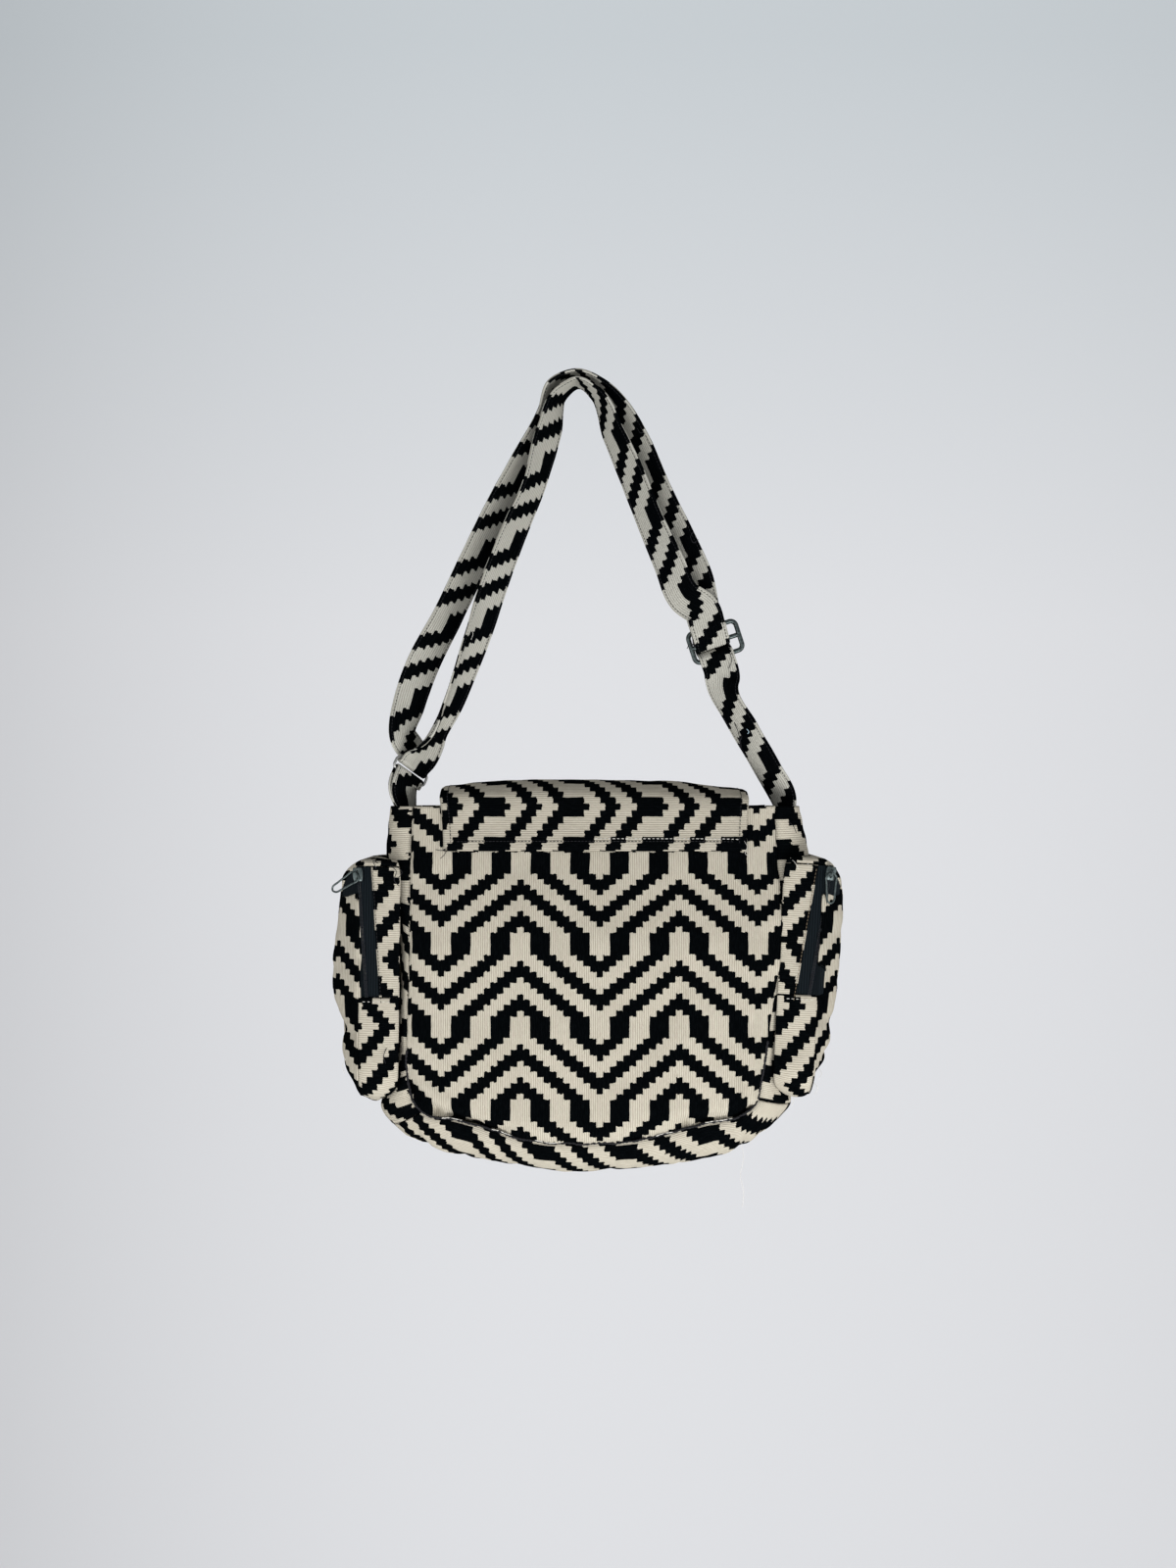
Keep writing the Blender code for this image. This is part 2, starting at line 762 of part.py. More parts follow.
def shoulder_strap():
    ring = RingFrame()
    adjuster = AdjusterFrame()
    anchor = Vector((seam_x(1, mouth_z) + 0.004, 0, mouth_z))
    wide = adjuster.along
    half = strap_thickness * 0.5
    passing = adjuster_wire + fit + half + 0.0001
    behind = adjuster_wire + fit + strap_thickness + fit + half + 0.0004
    stations = [
        (anchor - axis_z * strap_end_depth + axis_x * 0.001, -axis_y),
        (anchor - axis_z * 0.010 + axis_x * 0.0005, Vector((0.25, -0.97, 0)).normalized()),
        (anchor + axis_z * 0.004, Vector((0.62, -0.78, 0)).normalized()),
    ]
    chord = anchor - adjuster.middle
    ahead = Vector((chord.x, 0, chord.z)).normalized()
    outward = Vector((-ahead.z, 0, ahead.x))
    for share, bow in reversed(single_bow):
        base = adjuster.middle + chord * share
        base.y = 0.0
        turn = smooth((share - 0.45) / 0.55) * 0.8
        stations.append((base + outward * bow, turned(outward, turn)[0]))
    top_bar = adjuster.place(bar_pitch, 0)
    low_bar = adjuster.place(-bar_pitch, 0)
    near, up = -axis_y, adjuster.up
    stations.append((adjuster.place(-bar_pitch - 0.013, -passing + 0.0006), wide))
    stations += arc_stations(low_bar, near, up, passing, wide, (-10, 15, 40))
    stations += arc_stations(adjuster.middle, -near, up, behind, wide, (-30, 0, 30))
    stations += arc_stations(top_bar, near, up, passing, wide, (-40, -15, 10))
    stations.append((adjuster.place(bar_pitch + 0.013, -passing - 0.0004), wide))
    right_front, right_rear = run_stations(Vector((0, 0, 0)), Vector((adjuster.middle.x, 0, adjuster.middle.z)),
                                           right_front_bow, right_spread)
    left_front, left_rear = run_stations(Vector((0, 0, 0)), ring.middle, left_inner_bow, left_spread)
    arch_front, arch_rear = arch_stations()
    stations += right_rear[::-1] + arch_rear[::-1] + left_rear
    across = -ring.along
    radius = ring_wire + fit + half
    stations.append((ring.upper + ring.up * 0.0100 - ring.normal * 0.0052, across))
    stations += arc_stations(ring.upper, -ring.normal, -ring.up, radius, across, (-15, 25, 58, 90, 122, 155, 195))
    stations.append((ring.upper + ring.up * 0.0100 + ring.normal * 0.0052, across))
    stations += left_front[::-1] + arch_front + right_front
    tail = passing + strap_thickness + fit + 0.0002
    front = tail + strap_thickness + fit + 0.0002
    stations.append((adjuster.place(bar_pitch + 0.013, -front - 0.0004), wide))
    stations += arc_stations(top_bar, near, up, front, wide, (10, -15, -38))
    loop = adjuster_wire + fit + half
    stations += arc_stations(adjuster.middle, near, -up, loop, wide, (30, 60, 90, 120, 150, 180, 215))
    stations += arc_stations(top_bar, near, up, tail, wide, (-40, -15, 10))
    stations.append((adjuster.place(tail_length, -tail - 0.0004), wide))
    return belt("shoulder_strap", stations, strap_width, strap_thickness, strap_cloth())


def ring_tab():
    ring = RingFrame()
    at_mouth = Vector((seam_x(-1, mouth_z) - 0.0036, 0, mouth_z))
    half = layer_gap * 0.5
    across = -ring.along
    flat = Vector((-0.32, -0.95, 0.0)).normalized()
    between = (flat * 0.20 + across * 0.80).normalized()
    apart = flat.cross(axis_z) * -1.0
    radius = ring_wire + fit + strap_thickness * 0.5 + 0.0002
    stations = [
        (at_mouth - axis_z * strap_end_depth - apart * half, flat),
        (at_mouth - apart * half, flat),
        (ring.lower - ring.up * 0.0075 - ring.normal * 0.0026, between),
    ]
    stations += arc_stations(ring.lower, -ring.normal, ring.up, radius, across, (-22, 15, 50, 90, 130, 165, 202))
    stations += [
        (ring.lower - ring.up * 0.0075 + ring.normal * 0.0026, between),
        (at_mouth + apart * half, flat),
        (at_mouth - axis_z * strap_end_depth + apart * half, flat),
    ]
    return belt("ring_tab", stations, strap_width, strap_thickness, strap_cloth())


def rounded_path(middle, along, up, half_long, half_high, corner, pieces=4):
    path = []
    for sx, sy, start in ((1, 1, 0), (-1, 1, 90), (-1, -1, 180), (1, -1, 270)):
        centre = middle + along * sx * (half_long - corner) + up * sy * (half_high - corner)
        for i in range(pieces + 1):
            a = math.radians(start + 90 * i / pieces)
            path.append(centre + along * corner * math.cos(a) + up * corner * math.sin(a))
    return path


def strap_ring():
    ring = RingFrame()
    half_long = strap_width * 0.5 + 0.0015 + ring_wire
    path = rounded_path(ring.middle, ring.along, ring.up, half_long, ring_half_height, 0.0030)
    return tube("strap_ring", path, ring.normal, ring_wire, 8, wire_metal())


def strap_adjuster():
    frame = AdjusterFrame()
    middle = frame.middle + frame.along * adjuster_shift
    path = rounded_path(middle, frame.along, frame.up, adjuster_half_length, bar_pitch, 0.0030)
    made = tube("strap_adjuster", path, axis_y, adjuster_wire, 8, wire_metal())
    start = middle - frame.along * adjuster_half_length
    end = middle + frame.along * adjuster_half_length
    verts, faces = [], []
    sides = 8
    for point in (start, end):
        for j in range(sides):
            a = 2 * math.pi * (j + 0.37) / sides
            verts.append(point + (frame.up * math.cos(a) + axis_y * math.sin(a)) * adjuster_wire * 0.98)
    for j in range(sides):
        k = (j + 1) % sides
        faces.append((j, k, sides + k, sides + j))
    faces += [tuple(range(sides))[::-1], tuple(range(sides, 2 * sides))]
    bar = add_object("bar", verts, faces, wire_metal())
    close_solid(bar)
    return unite(made, [bar])


def build():
    clear_scene()
    body()
    flap()
    pocket("left", -1, left_pocket_drop, left_pocket_dome, left_zip_lean, -left_pull_swing)
    pocket("right", 1, right_pocket_drop, right_pocket_dome, right_zip_lean, right_pull_swing)
    shoulder_strap()
    ring_tab()
    strap_ring()
    strap_adjuster()


build()
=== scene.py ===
import json
import math

import bmesh
import bpy
import numpy as np
from mathutils import Matrix, Vector, noise
from mathutils.bvhtree import BVHTree

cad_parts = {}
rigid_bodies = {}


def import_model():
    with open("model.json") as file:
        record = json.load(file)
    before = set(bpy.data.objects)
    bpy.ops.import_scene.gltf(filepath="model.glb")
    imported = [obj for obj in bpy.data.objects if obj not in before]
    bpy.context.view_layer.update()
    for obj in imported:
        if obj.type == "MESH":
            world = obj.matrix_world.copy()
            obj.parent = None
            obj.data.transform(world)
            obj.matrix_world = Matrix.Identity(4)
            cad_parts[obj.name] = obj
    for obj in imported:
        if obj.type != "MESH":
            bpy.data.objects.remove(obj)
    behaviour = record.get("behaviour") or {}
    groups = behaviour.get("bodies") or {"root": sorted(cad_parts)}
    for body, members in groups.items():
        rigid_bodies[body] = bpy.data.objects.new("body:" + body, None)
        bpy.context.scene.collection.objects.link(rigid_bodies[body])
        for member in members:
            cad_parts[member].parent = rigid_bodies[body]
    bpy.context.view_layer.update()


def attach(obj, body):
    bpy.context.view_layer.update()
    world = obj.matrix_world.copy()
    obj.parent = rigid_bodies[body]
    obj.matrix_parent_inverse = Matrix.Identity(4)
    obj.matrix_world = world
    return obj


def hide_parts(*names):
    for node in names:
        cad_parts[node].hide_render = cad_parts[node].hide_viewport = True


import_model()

# The bag hangs by its strap with its back towards the camera, along -Y. Metres throughout.

view = {
    "place": (0.008, -1.0, -0.324),
    "lens": 27.95,
    "sensor": 36.0,
    "pixel": 0.000805,        # size of one pixel of a 1200 wide picture, 1 m from the camera
    "middle": (600, 800),
}
axisX, axisY, axisZ = np.eye(3)


def atPixel(px, py, depth):
    scale = view["pixel"] * (1 + depth)
    return np.array((view["place"][0] + (px - view["middle"][0]) * scale, depth,
                     view["place"][2] - (py - view["middle"][1]) * scale))


def smooth(value):
    value = np.clip(value, 0.0, 1.0)
    return value * value * (3.0 - 2.0 * value)


def mix(a, b, t):
    return a + (b - a) * t


def unit(vector):
    vector = np.asarray(vector, float)
    return vector / np.maximum(np.linalg.norm(vector, axis=-1, keepdims=True), 1e-9)


def lengthAlong(points):
    # Distance of each point from the first, measured along the line
    return np.concatenate(([0.0], np.cumsum(np.linalg.norm(np.diff(points, axis=0), axis=1))))


def columnsAt(rows, at, where):
    # Rows of numbers known at some distances, read off at others
    return np.stack([np.interp(where, at, column) for column in rows.T], axis=1)


def together(*parts):
    # Arrays of numbers, side by side in the last axis
    return np.stack(np.broadcast_arrays(*parts), axis=-1)


def throughPoints(keys, count):
    # Smooth line through rows of numbers, spaced by the distance between their first three
    keys = np.asarray(keys, float)
    gaps = np.maximum(np.linalg.norm(np.diff(keys[:, :3], axis=0), axis=1), 1e-6)
    at = np.concatenate(([0.0], np.cumsum(gaps)))
    slopes = np.gradient(keys, at, axis=0)
    where = np.linspace(0.0, at[-1], count)
    i = np.clip(np.searchsorted(at, where, side="right") - 1, 0, len(gaps) - 1)
    h = gaps[i][:, None]
    t = ((where - at[i]) / gaps[i])[:, None]
    return (keys[i] * (2 * t ** 3 - 3 * t ** 2 + 1) + slopes[i] * h * (t ** 3 - 2 * t ** 2 + t)
            + keys[i + 1] * (3 * t ** 2 - 2 * t ** 3) + slopes[i + 1] * h * (t ** 3 - t ** 2))


def rumple(points, size, seed):
    # Smooth bumps of about -1 to 1 over the points
    shift = Vector((seed * 7.31, seed * 3.17, seed * 5.93))
    flat = np.asarray(points, float).reshape(-1, 3) / size
    return np.array([noise.noise(Vector(p) + shift) for p in flat]).reshape(np.shape(points)[:-1])


def bumps(points, amountAndSize, seed):
    return amountAndSize[0] * rumple(points, amountAndSize[1], seed)


def lineDistance(points, a, b):
    t = np.clip(((points - a) @ (b - a)) / ((b - a) @ (b - a)), 0.0, 1.0)
    return np.linalg.norm(points - (a + t[..., None] * (b - a)), axis=-1)


def pathDistance(points, path):
    flat = points.reshape(-1, points.shape[-1])
    best = np.full(len(flat), np.inf)
    for place in path:
        best = np.minimum(best, np.linalg.norm(flat - place, axis=1))
    return best.reshape(points.shape[:-1])


# Node trees: Value wraps a socket, so that plain Python expressions add Math nodes.


class Value:
    def __init__(self, tree, socket):
        self.tree = tree
        self.socket = socket

    def output(self, name):
        return Value(self.tree, self.socket.node.outputs[name])

    def math(self, operation, *others):
        return self.tree.add("ShaderNodeMath", {"operation": operation}, dict(enumerate((self, *others))))

    def ripple(self, count):
        # A wave from 0 to 1, so many to the unit
        return (self * (2 * math.pi * count)).math("SINE") * 0.5 + 0.5


def addOperator(word, operation, reflected=""):
    # Sets one operator, and the reflected one where a plain number may stand on the left
    setattr(Value, word, lambda self, *others: self.math(operation, *others))
    if reflected:
        setattr(Value, reflected, lambda self, other: self.tree.add(
            "ShaderNodeMath", {"operation": operation}, {0: other, 1: self}))


addOperator("__add__", "ADD", "__radd__")
addOperator("__sub__", "SUBTRACT", "__rsub__")
addOperator("__mul__", "MULTIPLY", "__rmul__")
addOperator("__truediv__", "DIVIDE", "__rtruediv__")
for word, operation in (("__mod__", "FLOORED_MODULO"), ("__gt__", "GREATER_THAN"), ("__abs__", "ABSOLUTE"),
                        ("floor", "FLOOR"), ("least", "MINIMUM"), ("most", "MAXIMUM")):
    addOperator(word, operation)


class Tree:
    def __init__(self, nodeTree):
        self.nodeTree = nodeTree

    def add(self, kind, settings=None, sockets=None, out=0):
        node = self.nodeTree.nodes.new(kind)
        for name, value in (settings or {}).items():
            setattr(node, name, value)
        for name, value in (sockets or {}).items():
            if isinstance(value, Value):
                self.nodeTree.links.new(value.socket, node.inputs[name])
            else:
                node.inputs[name].default_value = value
        return Value(self, node.outputs[out]) if len(node.outputs) else node

    def colours(self, factor, a, b):
        return self.add("ShaderNodeMix", {"data_type": "RGBA"}, {0: factor, 6: a, 7: b}, 2)

    def noise(self, vector, scale, detail=2.0, roughness=0.5):
        return self.add("ShaderNodeTexNoise", None,
                        {"Vector": vector, "Scale": scale, "Detail": detail, "Roughness": roughness})

    def stretched(self, vector, scale):
        return self.add("ShaderNodeMapping", None, {"Vector": vector, "Scale": scale})

    def objectPlace(self):
        return self.add("ShaderNodeTexCoord", None, None, "Object")

    def weaveMap(self):
        # The map "weave" and its two numbers, across and down
        weave = self.add("ShaderNodeUVMap", {"uv_map": "weave"})
        across = self.add("ShaderNodeSeparateXYZ", None, {"Vector": weave})
        return weave, across, across.output("Y")


def newMaterial(name):
    made = bpy.data.materials.new(name)
    made.use_nodes = True
    made.node_tree.nodes.clear()
    return made, Tree(made.node_tree)


def finishMaterial(tree, settings, tint, roughness, bump, distance):
    normal = tree.add("ShaderNodeBump", None, {"Height": bump, "Distance": distance, "Strength": 1.0})
    shader = tree.add("ShaderNodeBsdfPrincipled", None,
                      {"Base Color": tint, "Roughness": roughness, "Normal": normal, **settings})
    tree.add("ShaderNodeOutputMaterial", None, {"Surface": shader})


def colour(parts, tone=1.0):
    return (*(part * tone for part in parts), 1.0)


# Woven cotton: the map "weave" counts columns across and steps down, so one rule draws all pieces.

weaving = {
    "ecru": (0.535, 0.498, 0.414),
    "ecruDark": (0.352, 0.317, 0.252),
    "ecruGrey": (0.46, 0.49, 0.475),
    # painted shade: the colour that the grooves between ribs and threads darken towards
    "ecruGrooveShade": (0.13, 0.112, 0.082),
    "black": (0.0010, 0.0014, 0.0017),
    "blackWorn": (0.0032, 0.0040, 0.0046),
    "ribs": 3.0,                      # ribs in one column
    "threads": 9.0,                   # cross threads in one step
    "halfRepeat": 12.0,               # columns from peak to valley
    "zone": 3.0,                      # columns in one zone
    "band": 3.0,                      # steps in one band
    "bands": 5.0,                     # bands in the repeat: white white black white black
    "looseNoise": (2.6, 3.0, 0.6),    # scale, detail and roughness of each noise
    "driftNoise": (0.35, 1.0),
    "slubNoise": (2.0, 3.0, 0.6),
    "slubStretch": (2.2, 0.35, 1.0),
    "cloudNoise": (28.0, 2.0),
    "raggedAcross": (0.05, 0.25),     # how far the pattern's edges stray: loose threads, drift
    "raggedDown": (0.09, 0.35, 0.20),     # loose threads, drift, rib by rib
    "heights": (0.72, 0.28, 0.5),     # share of ribs, cross threads and loose threads
    "ribHeight": 0.00042,
    "slubMix": (0.9, 0.5, -0.25),     # share of slubs and of clouds, and a shift
    "ribEdge": (3.6, 0.6),            # how soon the painted shade in the grooves gives way as a rib rises, and how loose threads change it
    "grooveShade": (0.80, 0.20, 0.62),    # how far painted shade darkens the grooves between ribs and between cross threads
    "wear": (0.45, 2.0),
    "roughness": 0.93,
}


def zigzagMask(across, down, inverted):
    # 1 where the cloth is black
    w = weaving
    column = (across + 0.5).floor() % (2 * w["halfRepeat"])
    fromPeak = column.least(2 * w["halfRepeat"] - column)
    zone = ((fromPeak + 1.0) / w["zone"]).floor()
    step = down.floor() - (fromPeak - zone * w["zone"])
    band = ((step % (w["band"] * w["bands"])) / w["band"]).floor()
    dark = (band > 1.5) * (1.0 - band % 2.0)
    return abs(dark - (zone + inverted) % 2.0)


def wovenCloth(name, inverted=0.0, tone=1.0, grey=0.0):
    w = weaving
    made, tree = newMaterial(name)
    weave, across, down = tree.weaveMap()
    loose = tree.noise(weave, *w["looseNoise"]) - 0.5
    drift = tree.noise(weave, *w["driftNoise"]) - 0.5
    ribAt = across * w["ribs"]
    ribIndex = ribAt.floor()
    perRib = tree.add("ShaderNodeTexWhiteNoise", {"noise_dimensions": "1D"}, {"W": ribIndex}) - 0.5
    byLoose, byDrift, byRib = w["raggedDown"]
    wobble = loose * byLoose + drift * byDrift
    black = zigzagMask(across + loose * w["raggedAcross"][0] + drift * w["raggedAcross"][1],
                       down + wobble + perRib * byRib, inverted)
    # Ribs run down the cloth, fine threads cross them
    ribPhase = ribAt - ribIndex - 0.5
    rib = 1.0 - ribPhase * ribPhase * 4.0
    thread = (down * w["threads"] + ribIndex * 0.5).ripple(1.0)
    byRib, byThread, byLoose = w["heights"]
    height = rib * byRib + thread * byThread + loose * byLoose
    # Colour: slubs, painted shade in the grooves between ribs and cross threads, and a little wear
    slub = tree.noise(tree.stretched(weave, w["slubStretch"]), *w["slubNoise"])
    cloudy = tree.noise(tree.objectPlace(), *w["cloudNoise"])
    bySlub, byCloud, shift = w["slubMix"]
    slubbed = slub * bySlub + cloudy * byCloud + shift
    ecru = tree.colours(slubbed, colour(w["ecru"], tone), colour(w["ecruDark"], tone))
    if grey:
        ecru = tree.colours(grey, ecru, colour(w["ecruGrey"], tone))
    # Painted shade: the cloth darkens in the grooves beside each rib and between the cross threads
    ribLitShare = ((0.5 - abs(ribPhase)) * w["ribEdge"][0] + loose * w["ribEdge"][1]).most(0.0).least(1.0)
    byRib, byThread, deep = w["grooveShade"]
    grooveShadeMix = (ribLitShare * byRib + thread * byThread).most(0.0).least(1.0)
    ecru = tree.colours(grooveShadeMix * deep + (1.0 - deep), colour(w["ecruGrooveShade"], tone), ecru)
    worn = (slub - w["wear"][0]).most(0.0) * w["wear"][1]
    dark = tree.colours(worn, colour(w["black"]), colour(w["blackWorn"]))
    finishMaterial(tree, {"Specular IOR Level": 0.0}, tree.colours(black, ecru, dark), w["roughness"],
                   height, w["ribHeight"])
    return made


finish = {
    "twists": 900.0,                  # of the thread, to the metre
    "twistShade": (0.4, 0.55),        # share and tone of painted shade on the dark side of each twist
    "threadRoughness": 0.8,
    "ridges": 480.0,                  # along the zip tape
    "twill": 1600.0,
    "fuzz": (900.0, 3.0),
    "ridgeShare": 0.6,
    # zip tape colours, dark and light: painted shade between the ridges, with random fuzz
    "tape": ((0.0006, 0.0011, 0.0017), (0.0066, 0.0108, 0.0140)),
    "tapeRoughness": 0.80,
    "blotches": (420.0, 4.0, 0.6),
    "blotchShade": (0.4, 1.8, 0.22),  # start and strength in colour, strength in roughness
    "scratches": (1500.0, 2.0),
    "scratchStretch": (1.0, 1.0, 0.12),
    "coil": ((0.003, 0.004, 0.006), (0.010, 0.013, 0.018)),
    "coilPatches": (500.0, 2.0),
    "coilRoughness": 0.45,
    # heights of the finest relief
    "relief": {"thread": 0.00005, "tape": 0.00028, "metal": 0.00004, "coil": 0.00003},
}


def threadMaterial(name, tint):
    made, tree = newMaterial(name)
    twist = tree.add("ShaderNodeTexWave", {"wave_type": "BANDS", "bands_direction": "DIAGONAL"},
                     {"Vector": tree.objectPlace(), "Scale": finish["twists"], "Distortion": 1.0}, 1)
    # Painted shade: one side of each twist of the thread darkens
    share, tone = finish["twistShade"]
    shade = tree.colours(twist * share, colour(tint), colour(tint, tone))
    finishMaterial(tree, {"Specular IOR Level": 0.2}, shade, finish["threadRoughness"], twist,
                   finish["relief"]["thread"])
    return made


def tapeMaterial():
    # Close-set ridges along the tape, a fine twill between them. Its colour darkens between the ridges as
    # painted shade, and varies at random with fuzz
    made, tree = newMaterial("zipTape")
    weave, across, down = tree.weaveMap()
    ridge = across.ripple(finish["ridges"])
    twill = (across + down).ripple(finish["twill"])
    fuzz = tree.noise(weave, *finish["fuzz"])
    share = finish["ridgeShare"]
    shade = tree.colours(ridge * share + fuzz * (1 - share), *map(colour, finish["tape"]))
    finishMaterial(tree, {"Specular IOR Level": 0.06}, shade, finish["tapeRoughness"],
                   ridge * share + twill * (1 - share), finish["relief"]["tape"])
    return made


def metalMaterial(name, tint, worn, roughness):
    made, tree = newMaterial(name)
    place = tree.objectPlace()
    blotch = tree.noise(place, *finish["blotches"])
    scratch = tree.noise(tree.stretched(place, finish["scratchStretch"]), *finish["scratches"])
    start, inColour, inRoughness = finish["blotchShade"]
    shade = tree.colours((blotch - start) * inColour, colour(tint), colour(worn))
    finishMaterial(tree, {"Metallic": 1.0}, shade, blotch * inRoughness + roughness, scratch,
                   finish["relief"]["metal"])
    return made


def coilMaterial():
    made, tree = newMaterial("coilNylon")
    patch = tree.noise(tree.objectPlace(), *finish["coilPatches"])
    shade = tree.colours(patch, *map(colour, finish["coil"]))
    finishMaterial(tree, {"Specular IOR Level": 0.3}, shade, finish["coilRoughness"], patch,
                   finish["relief"]["coil"])
    return made


print("materials")
panelCloth = wovenCloth("panelCotton")
# The flap's cloth, its pattern turned over and its colour darkened to 0.93 as painted shade
turnedShadedCloth = wovenCloth("turnedShadedCotton", inverted=1.0, tone=0.93)
strapCloth = wovenCloth("strapCotton", tone=0.92, grey=0.42)
thread = {word: threadMaterial(word + "Thread", tint) for word, tint in (
    ("white", (0.62, 0.60, 0.55)), ("black", (0.010, 0.010, 0.012)),
    ("brown", (0.16, 0.12, 0.08)), ("paleBlue", (0.42, 0.55, 0.62)))}
zipTape = tapeMaterial()
zipCoil = coilMaterial()
gunmetal = metalMaterial("sliderGunmetal", (0.042, 0.054, 0.054), (0.150, 0.172, 0.168), 0.27)
wireSteel = metalMaterial("wireSteel", (0.34, 0.34, 0.33), (0.20, 0.195, 0.18), 0.28)


# Meshes


def newObject(name, data):
    made = bpy.data.objects.new(name, data)
    bpy.context.scene.collection.objects.link(made)
    return made


def newMesh(name, points, edges, faces):
    mesh = bpy.data.meshes.new(name)
    mesh.from_pydata(np.asarray(points, float).reshape(-1, 3).tolist(), edges, faces)
    return mesh


def meshObject(name, points, faces, material, weave=None):
    mesh = newMesh(name, points, [], faces)
    if weave is not None:
        layer = mesh.uv_layers.new(name="weave")
        corners = np.empty(len(mesh.loops), np.int32)
        mesh.loops.foreach_get("vertex_index", corners)
        layer.data.foreach_set("uv", np.asarray(weave).reshape(-1, 2)[corners].astype(np.float32).ravel())
    mesh.polygons.foreach_set("use_smooth", [True] * len(mesh.polygons))
    mesh.materials.append(material)
    return newObject(name, mesh)


def bakeModifiers(made):
    graph = bpy.context.evaluated_depsgraph_get()
    mesh = bpy.data.meshes.new_from_object(made.evaluated_get(graph))
    mesh.name = made.name
    made.modifiers.clear()
    made.data = mesh
    return made


def gridFaces(rows, columns, closedRows=False, closedColumns=False):
    faces = []
    for i in range(rows if closedRows else rows - 1):
        k = (i + 1) % rows
        for j in range(columns if closedColumns else columns - 1):
            m = (j + 1) % columns
            faces.append((i * columns + j, i * columns + m, k * columns + m, k * columns + j))
    return faces


def belong(made, slot, *nodes, body="bag"):
    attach(made, body)
    if nodes:
        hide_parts(*nodes)
    return made


def endFaces(rows, columns):
    # Fans over both ends of a closed grid, to two points that follow it
    faces = []
    for j in range(columns):
        k = (j + 1) % columns
        faces.append((k, j, rows * columns))
        faces.append(((rows - 1) * columns + j, (rows - 1) * columns + k, rows * columns + 1))
    return faces


def finishCloth(made, inside, thickness, node, slot="ribbed_cotton"):
    # Faces point away from the middle of what the cloth encloses, and it grows inward from them
    total = sum(p.normal.dot(p.center - Vector(inside)) * p.area for p in made.data.polygons)
    if total < 0:
        made.data.flip_normals()
    solid = made.modifiers.new("thickness", "SOLIDIFY")
    solid.thickness = thickness
    solid.offset = -1.0
    solid.use_quality_normals = True
    return belong(bakeModifiers(made), slot, node)


def clothGrid(name, grid, weave, material, *rest):
    made = meshObject(name, grid, gridFaces(*grid.shape[:2]), material, weave)
    return finishCloth(made, *rest)


def joined(name, parts):
    # Several meshes as one, with the materials of all
    points, faces, owners, slots, uvs = [], [], [], [], []
    for part in parts:
        base = len(points)
        mesh = part.data
        points += [tuple(part.matrix_world @ v.co) for v in mesh.vertices]
        layer = mesh.uv_layers.get("weave")
        for p in mesh.polygons:
            faces.append([base + v for v in p.vertices])
            material = mesh.materials[p.material_index]
            if material not in slots:
                slots.append(material)
            owners.append(slots.index(material))
            uvs += [tuple(layer.data[k].uv) if layer else (0.0, 0.0) for k in p.loop_indices]
    mesh = newMesh(name, points, [], faces)
    for material in slots:
        mesh.materials.append(material)
    mesh.polygons.foreach_set("material_index", owners)
    mesh.polygons.foreach_set("use_smooth", [True] * len(faces))
    mesh.uv_layers.new(name="weave").data.foreach_set("uv", np.array(uvs, np.float32).ravel())
    for part in parts:
        bpy.data.objects.remove(part, do_unlink=True)
    return newObject(name, mesh)


def fixNormals(made):
    work = bmesh.new()
    work.from_mesh(made.data)
    bmesh.ops.recalc_face_normals(work, faces=work.faces)
    work.to_mesh(made.data)
    work.free()
    return made


def tubeAlong(name, path, radius, material, sides=8, closed=False, normal=None):
    path = np.asarray(path, float)
    count = len(path)
    if closed:
        ahead = unit(np.roll(path, -1, axis=0) - np.roll(path, 1, axis=0))
    else:
        ahead = unit(np.gradient(path, axis=0))
    if normal is None:
        # carried along the path so that it never flips
        side = np.zeros((count, 3))
        side[0] = unit(np.cross(ahead[0], (0.3, 0.5, 0.81)))
        for i in range(1, count):
            side[i] = unit(side[i - 1] - ahead[i] * (side[i - 1] @ ahead[i]))
    else:
        side = unit(np.cross(ahead, np.asarray(normal, float)))
    other = np.cross(ahead, side)
    turn = np.arange(sides) * 2 * math.pi / sides
    ring = path[:, None] + radius * (side[:, None] * np.cos(turn)[None, :, None]
                                     + other[:, None] * np.sin(turn)[None, :, None])
    faces = gridFaces(count, sides, closedRows=closed, closedColumns=True)
    points = ring.reshape(-1, 3)
    if not closed:
        points = np.vstack((points, path[0], path[-1]))
        faces += endFaces(count, sides)
    return fixNormals(meshObject(name, points, faces, material))


# Stitches: one node tree lays short rounded threads along every line it is given.

stitching = {
    "pitch": 0.0028,
    "length": 0.0023,
    "radius": 0.00030,
    "jitter": 0.12,
    "seed": 7,
}


def addInput(group, name, kind, value=None):
    socket = group.interface.new_socket(name=name, in_out="INPUT", socket_type=kind)
    if value is not None:
        socket.default_value = value
    return socket.identifier


